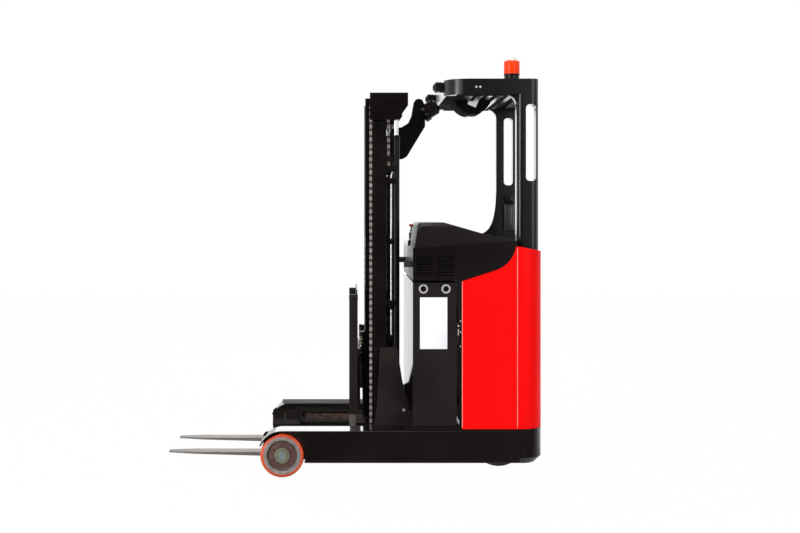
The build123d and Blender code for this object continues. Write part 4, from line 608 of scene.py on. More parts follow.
class Form:
    """A mesh that grows from boxes, turned profiles and stamped copies."""

    washer_thick: float = 0.0016
    flats_share: float = 0.577
    head_share: float = 0.62
    chamfer_share: float = 0.1116
    top_share: float = 0.84
    lip_share: float = 0.25
    weld: float = 0.00001

    def __init__(self) -> None:
        """Starts empty."""
        self.mesh: bmesh.types.BMesh = bmesh.new()

    def stamp(self, other: "Form", matrix: Matrix) -> None:
        """Adds a copy of another form.

        Args:
            other: The form to copy, which stays as it is.
            matrix: Where the copy goes.
        """
        carrier = bpy.data.meshes.new("stamp")
        other.mesh.to_mesh(carrier)
        carrier.transform(matrix)
        self.mesh.from_mesh(carrier)
        bpy.data.meshes.remove(carrier)

    def box(
        self, low: Point, high: Point, bevel: float = 0.002, segments: int = 2, turn: Matrix | None = None
    ) -> None:
        """Adds a box with rounded edges.

        Args:
            low: Lowest corner.
            high: Highest corner.
            bevel: Rounding of its edges.
            segments: Steps of the rounding.
            turn: Rotation about the box's middle.
        """
        part = Form()
        span = Vector(high) - Vector(low)
        middle = (Vector(high) + Vector(low)) / 2
        bmesh.ops.create_cube(part.mesh, size=1.0, matrix=Matrix.Diagonal((*span, 1.0)))
        if bevel:
            bmesh.ops.bevel(
                part.mesh, geom=list(part.mesh.edges), offset=bevel, offset_type="OFFSET", affect="EDGES",
                segments=segments, profile=0.5, material=-1,
            )
        spin = turn.to_4x4() if turn else Matrix.Identity(4)
        self.stamp(part, Matrix.Translation(middle) @ spin)
        part.mesh.free()

    def slab(self, low: Point, high: Point, corner: float, segments: int = 4) -> None:
        """Adds a plate that lies across Y, with its four outline corners rounded.

        Args:
            low: Lowest corner.
            high: Highest corner.
            corner: Radius of the outline corners.
            segments: Steps of the rounding.
        """
        part = Form()
        span = Vector(high) - Vector(low)
        bmesh.ops.create_cube(part.mesh, size=1.0, matrix=Matrix.Diagonal((*span, 1.0)))
        across = [
            edge for edge in part.mesh.edges if abs((edge.verts[0].co - edge.verts[1].co).y) > span.y / 2
        ]
        bmesh.ops.bevel(
            part.mesh, geom=across, offset=corner, offset_type="OFFSET", affect="EDGES", segments=segments,
            profile=0.5, material=-1,
        )
        self.stamp(part, Matrix.Translation((Vector(high) + Vector(low)) / 2))
        part.mesh.free()

    def turned(self, profile: Profile, foot: Point, axis: Point, steps: int = 40) -> None:
        """Adds a shape turned on a lathe.

        Args:
            profile: Radius and height of each corner, from the foot up.
            foot: The point that has height 0.
            axis: Direction of the height.
            steps: Faces round the shape.
        """
        part = Form()
        corners = [part.mesh.verts.new((radius, 0.0, height)) for radius, height in profile]
        lines = [part.mesh.edges.new(pair) for pair in zip(corners, corners[1:])]
        bmesh.ops.spin(
            part.mesh, geom=corners + lines, cent=(0, 0, 0), axis=UP, angle=math.tau, steps=steps,
            use_merge=True,
        )
        bmesh.ops.remove_doubles(part.mesh, verts=part.mesh.verts, dist=self.weld)
        aim = Vector(axis).to_track_quat("Z", "Y").to_matrix().to_4x4()
        self.stamp(part, Matrix.Translation(foot) @ aim)
        part.mesh.free()

    def ring(
        self, inner: float, outer: float, depth: float, foot: Point, axis: Point, steps: int = 40
    ) -> None:
        """Adds a flat ring with broken edges.

        Args:
            inner: Hole radius.
            outer: Outside radius.
            depth: Height along the axis.
            foot: Middle of its lower face.
            axis: Direction of the height.
            steps: Faces round the ring.
        """
        lip = min(depth, outer - inner) * self.lip_share
        profile = (
            (inner, 0.0), (outer, 0.0), (outer, depth - lip), (outer - lip, depth), (inner + lip, depth),
            (inner, depth - lip), (inner, 0.0),
        )
        self.turned(profile, foot, axis, steps)

    def bolt(self, foot: Point, axis: Point, across: float, washer: float = 0.0) -> None:
        """Adds a hexagon head with a chamfered top, on a washer if asked.

        Args:
            foot: Where the head sits.
            axis: Direction that the head faces.
            across: Size across the flats.
            washer: Radius of the washer.
        """
        radius = across * self.flats_share
        lift = 0.0
        if washer:
            lift = self.washer_thick
            self.turned(((0.0, 0.0), (washer, 0.0), (washer, lift), (0.0, lift)), foot, axis, steps=20)
        top = lift + across * self.head_share
        shoulder = (radius, top - across * self.chamfer_share)
        edge = (radius * self.top_share, top)
        self.turned(((0.0, 0.0), (radius, 0.0), shoulder, edge, (0.0, top)), foot, axis, steps=6)

    def pipe(self, points: Sequence[Point | Vector], radius: float, steps: int = 12) -> None:
        """Adds a rigid pipe through a few points, with its ends closed.

        Args:
            points: Its corners.
            radius: Its radius.
            steps: Faces round it.
        """
        part = Form()
        runs = [Vector(point) for point in points]
        made = bmesh.ops.create_circle(part.mesh, cap_ends=False, radius=radius, segments=steps)
        aim = (runs[1] - runs[0]).to_track_quat("Z", "Y").to_matrix().to_4x4()
        bmesh.ops.transform(part.mesh, matrix=Matrix.Translation(runs[0]) @ aim, verts=made["verts"])
        rim = list(part.mesh.edges)
        for index, point in enumerate(runs[1:], 1):
            before = (point - runs[index - 1]).normalized()
            ahead = (runs[index + 1] - point).normalized() if index + 1 < len(runs) else before
            normal = (ahead + before).normalized()
            grown = bmesh.ops.extrude_edge_only(part.mesh, edges=rim)["geom"]
            fresh = {item for item in grown if isinstance(item, bmesh.types.BMVert)}
            for corner in fresh:
                corner.co += before * ((point - corner.co).dot(normal) / before.dot(normal))
            rim = [edge for edge in part.mesh.edges if edge.verts[0] in fresh and edge.verts[1] in fresh]
        bmesh.ops.holes_fill(part.mesh, edges=part.mesh.edges, sides=0)
        self.stamp(part, Matrix.Identity(4))
        part.mesh.free()

    def mirrored(self) -> "Form":
        """Adds the copy on the other side of the truck and returns the form."""
        self.stamp(self, Matrix.Diagonal((1.0, -1.0, 1.0, 1.0)))
        return self


class Fitter:
    """Puts finished meshes in the scene as pieces that ride on a body."""

    weld: float = 0.00002
    flat_angle: float = 0.6

    def __init__(self, frame: dict) -> None:
        """Keeps the loaded frame.
        """
        self.nodes: dict[str, bpy.types.Object] = frame["nodes"]
        self.body_of: dict[str, str] = {
            node: body for body, members in frame["record"]["behaviour"]["bodies"].items() for node in members
        }

    def piece(
        self, name: str, shape: bmesh.types.BMesh, finish: Finish, body: str, slot: str, smooth: float = 35.0
    ) -> bpy.types.Object:
        """Turns a bmesh into a piece.

        Args:
            name: Name of the piece.
            shape: The finished mesh, in place.
            finish: Its finish.
            body: The body it rides on.
            slot: The record's material slot; not used.
            smooth: Faces that meet below this angle are shaded smooth.

        Returns:
            The new object.
        """
        bmesh.ops.recalc_face_normals(shape, faces=shape.faces)
        mesh = bpy.data.meshes.new(name)
        shape.to_mesh(mesh)
        shape.free()
        mesh.polygons.foreach_set("use_smooth", [True] * len(mesh.polygons))
        mesh.set_sharp_from_angle(angle=math.radians(smooth))
        mesh.materials.append(finish.material())
        made = bpy.data.objects.new(name, mesh)
        bpy.context.scene.collection.objects.link(made)
        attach(made, body)
        LOG.info("piece %s on %s, %d faces", name, body, len(mesh.polygons))
        return made

    def form(
        self, name: str, form: Form, finish: Finish, body: str, slot: str, smooth: float = 35.0
    ) -> bpy.types.Object:
        """Turns a form into a piece.

        Args:
            name: Name of the piece.
            form: The finished form, used up here.
            finish: Its finish.
            body: The body it rides on.
            slot: The record's material slot.
            smooth: Faces that meet below this angle are shaded smooth.

        Returns:
            The new object.
        """
        return self.piece(name, form.mesh, finish, body, slot, smooth)

    def soften(self, node: str, edge: Edge, finish: Finish) -> bpy.types.Object:
        """Replaces a solid by a copy with rounded corners.

        Args:
            node: The solid's name.
            edge: The rounding.
            finish: The finish of the copy.

        Returns:
            The rounded copy.
        """
        shape = bmesh.new()
        shape.from_mesh(self.nodes[node].data)
        bmesh.ops.remove_doubles(shape, verts=shape.verts, dist=self.weld)
        bmesh.ops.dissolve_limit(
            shape, angle_limit=math.radians(self.flat_angle), use_dissolve_boundaries=False,
            verts=shape.verts, edges=shape.edges,
        )
        mesh = bpy.data.meshes.new(f"{node}_soft")
        shape.to_mesh(mesh)
        shape.free()
        mesh.polygons.foreach_set("use_smooth", [True] * len(mesh.polygons))
        mesh.set_sharp_from_angle(angle=math.radians(edge.angle))
        mesh.materials.clear()
        mesh.materials.append(finish.material())
        made = bpy.data.objects.new(f"{node}_soft", mesh)
        bpy.context.scene.collection.objects.link(made)
        bevel = made.modifiers.new("rounded_edges", "BEVEL")
        bevel.width = edge.width
        bevel.segments = edge.segments
        bevel.limit_method = "ANGLE"
        bevel.angle_limit = math.radians(edge.angle)
        bevel.harden_normals = True
        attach(made, self.body_of[node])
        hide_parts(node)
        LOG.info("rounded %s by %.1f mm", node, edge.width * 1000)
        return made

    def dress(self) -> None:
        """Gives every solid its finish, and the listed ones rounded corners."""
        for node, solid in self.nodes.items():
            finish = NODE_FINISH[node]
            solid.data.materials.clear()
            solid.data.materials.append(finish.material())
            if node in NODE_EDGE:
                self.soften(node, NODE_EDGE[node], finish)


@dataclass
class LoadWheels:
    """The two load wheels under the noses of the support legs."""

    middle: Point = (-0.395, 0.5, 0.125)
    width: float = 0.084
    tyre: Profile = (
        (0.0984, 0.0), (0.112, 0.0), (0.1195, 0.003), (0.1238, 0.010), (0.1247, 0.024), (0.125, 0.042),
        (0.1247, 0.060), (0.1238, 0.074), (0.1195, 0.081), (0.112, 0.0838), (0.1105, 0.0822),
        (0.1075, 0.0822), (0.106, 0.0838), (0.1005, 0.0838), (0.0984, 0.082), (0.0984, 0.0),
    )
    hub: Profile = (
        (0.0206, 0.0), (0.098, 0.0), (0.098, 0.0815), (0.1062, 0.0838), (0.1065, 0.0845),
        (0.1045, 0.0852), (0.0875, 0.0848), (0.086, 0.0834), (0.0858, 0.078), (0.0816, 0.078),
        (0.081, 0.0745), (0.0785, 0.069), (0.0775, 0.068), (0.0206, 0.068), (0.0206, 0.0),
    )
    disc: Profile = (
        (0.0205, 0.0682), (0.0772, 0.0682), (0.0778, 0.070), (0.075, 0.0712), (0.050, 0.0722),
        (0.038, 0.0722), (0.0205, 0.0712), (0.0205, 0.0682),
    )
    bolts: int = 6
    bolt_circle: float = 0.0630
    bolt_size: float = 0.011
    bolt_seat: float = 0.0702
    groove: tuple[float, float, float] = (0.0817, 0.0857, 0.0008)
    groove_seat: float = 0.0783
    cap: Profile = (
        (0.0, 0.0), (0.0435, 0.0), (0.044, 0.0012), (0.0425, 0.0030), (0.033, 0.0046), (0.0262, 0.0046),
        (0.025, 0.0034), (0.0, 0.0034),
    )
    cap_eye: Profile = ((0.0, 0.0028), (0.0238, 0.0028), (0.0232, 0.0046), (0.012, 0.0052), (0.0, 0.0054))
    cap_y: float = 0.5365

    def dress(self, fitter: Fitter) -> None:
        """Builds tyres, hubs, dishes and axle caps on both sides.

        Args:
            fitter: Puts the pieces in the scene.
        """
        caps, eyes = Form(), Form()
        x, y, z = self.middle
        for side, sign in (("left", -1), ("right", 1)):
            foot = (x, sign * (y - self.width / 2), z)
            out = (0.0, float(sign), 0.0)
            body = f"load_wheel_{side}"
            tyre, hub, groove = Form(), Form(), Form()
            tyre.turned(self.tyre, foot, out, steps=72)
            piece = fitter.form(f"tyre_{side}", tyre, URETHANE, body, "urethane")
            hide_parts(f"load_tyre_{side}")
            hub.turned(self.hub, foot, out, steps=72)
            piece = fitter.form(f"hub_{side}", hub, HUB, body, "cast_grey")
            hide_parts(f"load_hub_{side}")
            fitter.form(f"dish_{side}", self._dish(foot, out), DISH, body, "cast_grey")
            # The groove ring is painted shade: a thin near-black ring in the hub's groove.
            groove.ring(*self.groove, (x, foot[1] + sign * self.groove_seat, z), out, steps=56)
            fitter.form(f"rim_groove_{side}", groove, PAINTED_SHADE, body, "cast_grey")
            axle_end = (x, sign * self.cap_y, z)
            caps.turned(self.cap, axle_end, out, steps=40)
            eyes.turned(self.cap_eye, axle_end, out, steps=32)
        fitter.form("axle_caps", caps, ZINC, "chassis", "bare_steel")
        fitter.form("axle_cap_eyes", eyes, CAP_EYE, "chassis", "bare_steel")

    def _dish(self, foot: Point, out: Point) -> Form:
        """Makes the coned disc inside the rings, with its bolt heads.

        Args:
            foot: Middle of the hub's inner face.
            out: Direction of the outer face.

        Returns:
            The disc.
        """
        dish = Form()
        dish.turned(self.disc, foot, out, steps=56)
        for index in range(self.bolts):
            angle = math.tau * (index + 0.5) / self.bolts
            place = (
                foot[0] + self.bolt_circle * math.cos(angle),
                foot[1] + out[1] * self.bolt_seat,
                foot[2] + self.bolt_circle * math.sin(angle),
            )
            dish.bolt(place, out, across=self.bolt_size)
        return dish


@dataclass
class LeafChain:
    """A pair of leaf chains over their sheaves, with real plates and pins."""

    name: str
    node: str
    body: str
    sheave: tuple[float, float]
    radius: float
    side_y: float
    front_low: float
    rear_low: float
    width: float
    high: float
    pitch: float = 0.01905
    sheet: float = 0.0028
    plate_share: float = 1.62
    round_share: float = 0.42
    leaf_places: tuple[float, float, float] = (-0.26, 0.0, 0.26)
    pin_share: float = 0.24
    rivet: float = 0.0008

    def dress(self, fitter: Fitter) -> None:
        """Builds outer plates painted light as highlights, and inner plates with pins painted dark as shade.

        Args:
            fitter: Puts the pieces in the scene.
        """
        outer, inner = self._outer(), self._inner()
        bright, dark = Form(), Form()
        length = (self.sheave[1] - self.front_low) + math.pi * self.radius + (self.sheave[1] - self.rear_low)
        for index in range(int(length / self.pitch)):
            seat = self._seat((index + 0.5) * self.pitch)
            if index % 2:
                dark.stamp(inner, seat)
            else:
                bright.stamp(outer, seat)
                dark.stamp(self._pins(), seat)
        # Outer plates carry the painted highlight; inner leaves and pins carry the painted shade.
        for name, form, finish in (("plates", bright, CHAIN_HIGHLIGHT), ("leaves", dark, CHAIN_SHADE)):
            piece = fitter.form(f"{self.name}_{name}", form.mirrored(), finish, self.body, "bare_steel")
            if name == "plates":
                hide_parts(self.node)

    def _seat(self, along: float) -> Matrix:
        """Finds where a link sits.

        Args:
            along: Length along the chain from the foot of its front strand.

        Returns:
            The place and turn of the link.
        """
        x, z = self.sheave
        rise = z - self.front_low
        around = math.pi * self.radius
        if along < rise:
            return Matrix.Translation((x - self.radius, -self.side_y, self.front_low + along))
        if along < rise + around:
            angle = (along - rise) / self.radius
            spot = (x - self.radius * math.cos(angle), -self.side_y, z + self.radius * math.sin(angle))
            return Matrix.Translation(spot) @ Matrix.Rotation(angle, 4, "Y")
        return Matrix.Translation((x + self.radius, -self.side_y, z - (along - rise - around)))

    def _plate(self, form: Form, y: float, length: float) -> None:
        """Adds one plate with round ends.

        Args:
            form: Gets the plate.
            y: Middle of the plate across the chain.
            length: Its length.
        """
        half = Vector((self.high, self.sheet, length)) / 2
        middle = Vector((0.0, y, 0.0))
        form.slab(tuple(middle - half), tuple(middle + half), corner=self.high * self.round_share, segments=2)

    def _outer(self) -> Form:
        """Returns the two outer plates of a link."""
        form = Form()
        for side in (-1, 1):
            self._plate(form, side * (self.width - self.sheet) / 2, self.pitch * self.plate_share)
        return form

    def _inner(self) -> Form:
        """Returns the inner leaves between two links."""
        form = Form()
        for place in self.leaf_places:
            self._plate(form, place * self.width, self.pitch * self.plate_share)
        return form

    def _pins(self) -> Form:
        """Returns the two pins of a link, riveted just outside its plates."""
        form = Form()
        half = self.width / 2 + self.rivet
        radius = self.high * self.pin_share
        for end in (-0.5, 0.5):
            form.turned(
                ((0.0, 0.0), (radius, 0.0), (radius, 2 * half), (0.0, 2 * half)),
                (0.0, -half, end * self.pitch), RIGHT, steps=8,
            )
        return form


@dataclass
class BatteryDress:
    """Lifting eyes, blank plate, latch and lid seam of the battery."""

    face_y: float = 0.538
    eyes_x: tuple[float, float] = (0.404, 0.532)
    eye_z: float = 1.068
    eye_ring: tuple[float, float, float] = (0.0165, 0.0262, 0.0045)
    eye_sleeve: tuple[float, float, float] = (0.0168, 0.0178, 0.012)
    sleeve_sunk: float = 0.0115
    eye_floor: Profile = ((0.0, 0.0), (0.0166, 0.0), (0.0166, 0.0006), (0.0, 0.0006))
    floor_sunk: float = 0.0235
    plate: tuple[float, float, float, float] = (0.3845, 0.539, 0.728, 1.020)
    plate_proud: float = 0.0014
    plate_sunk: float = 0.0004
    latch_strip: Span = ((0.6065, -0.5415, 0.735), (0.6195, -0.5372, 0.893))
    latch_catch: Span = ((0.5945, -0.5425, 0.842), (0.6100, -0.5335, 0.878))
    latch_handle: Span = ((0.5960, -0.5435, 0.752), (0.6085, -0.5345, 0.806))
    latch_screws: tuple[Point, Point, Point] = (
        (0.613, -0.5415, 0.745), (0.613, -0.5415, 0.824), (0.613, -0.5415, 0.886)
    )
    latch_stud: Profile = ((0.0, 0.0), (0.0052, 0.0), (0.0052, 0.005), (0.0035, 0.0065), (0.0, 0.0065))
    latch_stud_foot: Point = (0.6020, -0.5425, 0.859)
    latch_wire: Span = ((0.6015, -0.5400, 0.806), (0.6015, -0.5400, 0.842))
    lid_seam_x: tuple[float, float] = (0.348, 0.588)
    lid_seam_z: tuple[float, float] = (1.0925, 1.0940)
    seam_proud: float = 0.0008
    seam_sunk: float = 0.0006

    def dress(self, fitter: Fitter) -> None:
        """Builds the pieces on the battery's faces.

        Args:
            fitter: Puts the pieces in the scene.
        """
        rings, holes, label = Form(), Form(), Form()
        for x in self.eyes_x:
            rings.ring(*self.eye_ring, (x, -self.face_y, self.eye_z), LEFT, steps=48)
            rings.ring(*self.eye_sleeve, (x, -self.face_y + self.sleeve_sunk, self.eye_z), LEFT, steps=48)
            # The floor of each eye is painted shade: a near-black disc at the bottom of the hole.
            holes.turned(self.eye_floor, (x, -self.face_y + self.floor_sunk, self.eye_z), LEFT, steps=32)
        fitter.form("battery_eye_rings", rings.mirrored(), RING, "chassis", "bare_steel")
        fitter.form("battery_eye_floors", holes.mirrored(), PAINTED_SHADE, "chassis", "battery_paint")
        front, rear, low, high = self.plate
        proud, sunk = -self.face_y - self.plate_proud, -self.face_y + self.plate_sunk
        label.box((front, proud, low), (rear, sunk, high), bevel=0.0006, segments=2)
        fitter.form("battery_blank_plate", label, LABEL, "chassis", "battery_paint")
        self._latch(fitter)
        self._lid(fitter)

    def _latch(self, fitter: Fitter) -> None:
        """Builds the latch in the gap behind the battery.

        Args:
            fitter: Puts the pieces in the scene.
        """
        plate, hook = Form(), Form()
        plate.box(*self.latch_strip, bevel=0.0015)
        plate.box(*self.latch_catch, bevel=0.0025, segments=3)
        plate.box(*self.latch_handle, bevel=0.0025, segments=3)
        for screw in self.latch_screws:
            hook.bolt(screw, LEFT, across=0.008)
        hook.turned(self.latch_stud, self.latch_stud_foot, LEFT, steps=20)
        hook.pipe(self.latch_wire, radius=0.0030)
        fitter.form("battery_latch", plate.mirrored(), PLASTIC, "chassis", "black_plastic")
        fitter.form("battery_latch_hook", hook.mirrored(), RING, "chassis", "bare_steel")

    def _lid(self, fitter: Fitter) -> None:
        """Builds the seam under the lid as a near-black strip of painted shade in the gap.

        Args:
            fitter: Puts the pieces in the scene.
        """
        front, rear = self.lid_seam_x
        low, high = self.lid_seam_z
        seam = Form()
        proud, sunk = -self.face_y - self.seam_proud, -self.face_y + self.seam_sunk
        seam.box((front, proud, low), (rear, sunk, high), bevel=0.0)
        fitter.form("battery_lid_seam", seam.mirrored(), PAINTED_SHADE, "chassis", "battery_paint")


@dataclass
class ConsoleDress:
    """Louvre blades, dash instruments and controls of the operator's place."""

    louvre_x: tuple[float, float] = (0.356, 0.477)
    louvre_wide: float = 0.104
    louvre_low: float = 1.142
    louvre_back_x: tuple[float, float] = (0.348, 0.592)
    louvre_back_z: tuple[float, float] = (1.130, 1.270)
    louvre_back_thick: float = 0.0015
    blade_deep: float = 0.012
    blade_half: float = 0.0010
    blade_end: float = 0.002
    blade_tilt: float = -38.0
    rows: int = 8
    pitch: float = 0.015
    wall_y: float = 0.532
    dash_z: float = 1.344
    stop_box_high: float = 0.040
    stop_collar: tuple[float, float, float] = (0.006, 0.0165, 0.006)
    stop_stem: Profile = (
        (0.0, 0.0), (0.0125, 0.0), (0.0125, 0.010), (0.0085, 0.014), (0.0085, 0.034), (0.0, 0.034)
    )
    stop_stem_low: float = 0.045
    stop_head: Profile = (
        (0.0, 0.0), (0.0105, 0.0), (0.0180, 0.0035), (0.0190, 0.0080), (0.0182, 0.0125), (0.0150, 0.0160),
        (0.0085, 0.0178), (0.0, 0.0182),
    )
    stop_head_drop: float = 0.0185
    lever_ys: tuple[float, float, float] = (0.300, 0.350, 0.400)
    lever_sunk: float = 0.002
    lever_boot: Profile = (
        (0.0, 0.0), (0.0200, 0.0), (0.0196, 0.003), (0.0165, 0.005), (0.0172, 0.008), (0.0135, 0.010),
        (0.0140, 0.013), (0.0095, 0.015), (0.0050, 0.017), (0.0, 0.017),
    )
    lever_grip: Profile = (
        (0.0, 0.012), (0.0042, 0.012), (0.0042, 0.027), (0.0075, 0.029), (0.0112, 0.034), (0.0118, 0.039),
        (0.0100, 0.0445), (0.0060, 0.0472), (0.0, 0.0480),
    )
    display_bezel: Span = ((0.405, 0.165, -0.004), (0.520, 0.325, 0.010))
    display_glass: Span = ((0.417, 0.178, 0.0085), (0.508, 0.312, 0.0112))
    key_ring: tuple[float, float, float] = (0.0055, 0.0150, 0.005)
    key_ring_foot: Point = (0.468, 0.400, -0.001)
    key: Span = ((0.4655, 0.3935, 0.0), (0.4705, 0.4065, 0.016))
    wrist_tray: Span = ((0.620, 0.430, -0.003), (0.735, 0.520, 0.004))
    wrist_pad: Span = ((0.628, 0.438, 0.0035), (0.727, 0.512, 0.0062))
    wheel_cap: Profile = (
        (0.0, 0.0), (0.034, 0.0), (0.034, 0.004), (0.030, 0.008), (0.012, 0.0105), (0.0, 0.0108)
    )
    wheel_cap_foot: Point = (0.688, 0.120, 1.3600)
    rib_wide: float = 0.007
    rib_high: float = 0.0025
    rib_sunk: float = 0.001
    rib_pitch: float = 0.016
    mat_edge: float = 0.018
    mat_margin: float = 0.015
    pedal_zone_y: tuple[float, float] = (0.060, 0.280)
    pedal_rear_x: float = 0.822
    pedals_y: tuple[float, float] = (0.070, 0.190)
    pedal_rib_y: tuple[float, float] = (0.008, 0.072)
    pedal_rib_z: tuple[float, float] = (0.307, 0.3105)
    pedal_rib_x: float = 0.709
    pedal_rib_pitch: float = 0.0165
    pedal_ribs: int = 6

    def dress(self, fitter: Fitter) -> None:
        """Builds the pieces on the console, the dash and the floor.

        Args:
            fitter: Puts the pieces in the scene.
        """
        self._louvres(fitter)
        self._stop_button(fitter)
        self._levers(fitter)
        self._instruments(fitter)
        self._hand_wheel(fitter)
        self._floor_ribs(fitter)

    def _louvres(self, fitter: Fitter) -> None:
        """Builds tilted blades behind the slots, with a near-black back behind them as painted shade.

        Args:
            fitter: Puts the pieces in the scene.
        """
        back, blades = Form(), Form()
        front, rear = self.louvre_back_x
        low, high = self.louvre_back_z
        floor = -self.wall_y + self.blade_deep
        # The back is painted shade: a near-black sheet where the inside of the console lies in shade.
        back.box((front, floor, low), (rear, floor + self.louvre_back_thick, high), bevel=0.0)
        tilt = Matrix.Rotation(math.radians(self.blade_tilt), 3, "X")
        for x in self.louvre_x:
            for row in range(self.rows):
                z = self.louvre_low + (row + 0.5) * self.pitch
                low = (x - self.blade_end, -self.wall_y, z - self.blade_half)
                high = (x + self.louvre_wide + self.blade_end, floor, z + self.blade_half)
                blades.box(low, high, bevel=0.0006, segments=1, turn=tilt)
        fitter.form("louvre_backs", back.mirrored(), PAINTED_SHADE, "chassis", "black_plastic")
        fitter.form("louvre_blades", blades.mirrored(), PLASTIC, "chassis", "black_plastic")

    def _stop_button(self, fitter: Fitter) -> None:
        """Builds the mushroom button on its box.

        Args:
            fitter: Puts the pieces in the scene.
        """
        low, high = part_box("emergency_stop")
        x, y = (low[0] + high[0]) / 2, (low[1] + high[1]) / 2
        box_top = low[2] + self.stop_box_high
        base, collar, stem, head = Form(), Form(), Form(), Form()
        base.box((low[0], low[1], low[2]), (high[0], high[1], box_top), bevel=0.003, segments=3)
        collar.ring(*self.stop_collar, (x, y, box_top), UP, steps=32)
        stem.turned(self.stop_stem, (x, y, low[2] + self.stop_stem_low), UP, steps=28)
        head.turned(self.stop_head, (x, y, high[2] - self.stop_head_drop), UP, steps=40)
        box = fitter.form("stop_box", base, PLASTIC, "chassis", "black_plastic")
        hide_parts("emergency_stop")
        fitter.form("stop_collar", collar, LABEL, "chassis", "red_plastic")
        # The stem is painted shade: darker than the box, for the shade under the head.
        fitter.form("stop_stem", stem, PAINTED_SHADE, "chassis", "black_plastic")
        fitter.form("stop_head", head, STOP_RED, "chassis", "red_plastic")

    def _levers(self, fitter: Fitter) -> None:
        """Builds three levers with boots and round grips.

        Args:
            fitter: Puts the pieces in the scene.
        """
        low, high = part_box("control_levers")
        x = (low[0] + high[0]) / 2
        boots, grips = Form(), Form()
        for y in self.lever_ys:
            foot = (x, y, self.dash_z - self.lever_sunk)
            boots.turned(self.lever_boot, foot, UP, steps=28)
            grips.turned(self.lever_grip, foot, UP, steps=28)
        fitter.form("lever_boots", boots, RUBBER, "chassis", "black_plastic")
        piece = fitter.form("lever_grips", grips, PLASTIC, "chassis", "black_plastic")
        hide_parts("control_levers")

    def _instruments(self, fitter: Fitter) -> None:
        """Builds the display, the key switch and the wrist pad on the dash.

        Args:
            fitter: Puts the pieces in the scene.
        """
        bezel, glass, lock, tray = Form(), Form(), Form(), Form()
        bezel.box(*self._on_dash(*self.display_bezel), bevel=0.005, segments=3)
        glass.box(*self._on_dash(*self.display_glass), bevel=0.001)
        lock.ring(*self.key_ring, *self._on_dash(self.key_ring_foot), UP, steps=32)
        lock.box(*self._on_dash(*self.key), bevel=0.0015)
        tray.box(*self._on_dash(*self.wrist_tray), bevel=0.003, segments=3)
        tray.box(*self._on_dash(*self.wrist_pad), bevel=0.0015)
        fitter.form("display_bezel", bezel, PLASTIC, "chassis", "black_plastic")
        fitter.form("display_glass", glass, GLASS, "chassis", "black_plastic")
        fitter.form("key_switch", lock, STEEL, "chassis", "bare_steel")
        fitter.form("wrist_tray", tray, MAT, "chassis", "mat_rubber")

    def _on_dash(self, *points: Point) -> list[Point]:
        """Returns points given above the dash at their real height."""
        return [(x, y, self.dash_z + z) for x, y, z in points]

    def _hand_wheel(self, fitter: Fitter) -> None:
        """Builds the cap in the middle of the steering wheel.

        Args:
            fitter: Puts the pieces in the scene.
        """
        cap = Form()
        cap.turned(self.wheel_cap, self.wheel_cap_foot, UP, steps=40)
        fitter.form("hand_wheel_cap", cap, PLASTIC, "hand_wheel", "black_plastic")

    def _floor_ribs(self, fitter: Fitter) -> None:
        """Builds the ribs of the floor mat, short beside the pedals, and of the pedals.

        Args:
            fitter: Puts the pieces in the scene.
        """
        mat, pedals = Form(), Form()
        low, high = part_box("platform_mat")
        near, far = self.pedal_zone_y
        y = low[1] + self.mat_edge
        while y < high[1] - self.rib_pitch:
            start = self.pedal_rear_x if near < y < far else low[0] + self.mat_margin
            end = (high[0] - self.mat_margin, y + self.rib_wide, high[2] + self.rib_high)
            mat.box((start, y, high[2] - self.rib_sunk), end, bevel=0.0012, segments=1)
            y += self.rib_pitch
        rib_near, rib_far = self.pedal_rib_y
        rib_low, rib_high = self.pedal_rib_z
        for side in self.pedals_y:
            for row in range(self.pedal_ribs):
                x = self.pedal_rib_x + row * self.pedal_rib_pitch
                start = (x, side + rib_near, rib_low)
                end = (x + self.rib_wide, side + rib_far, rib_high)
                pedals.box(start, end, bevel=0.0015, segments=1)
        fitter.form("mat_ribs", mat, MAT, "chassis", "mat_rubber")
        fitter.form("pedal_ribs", pedals, MAT, "chassis", "mat_rubber")


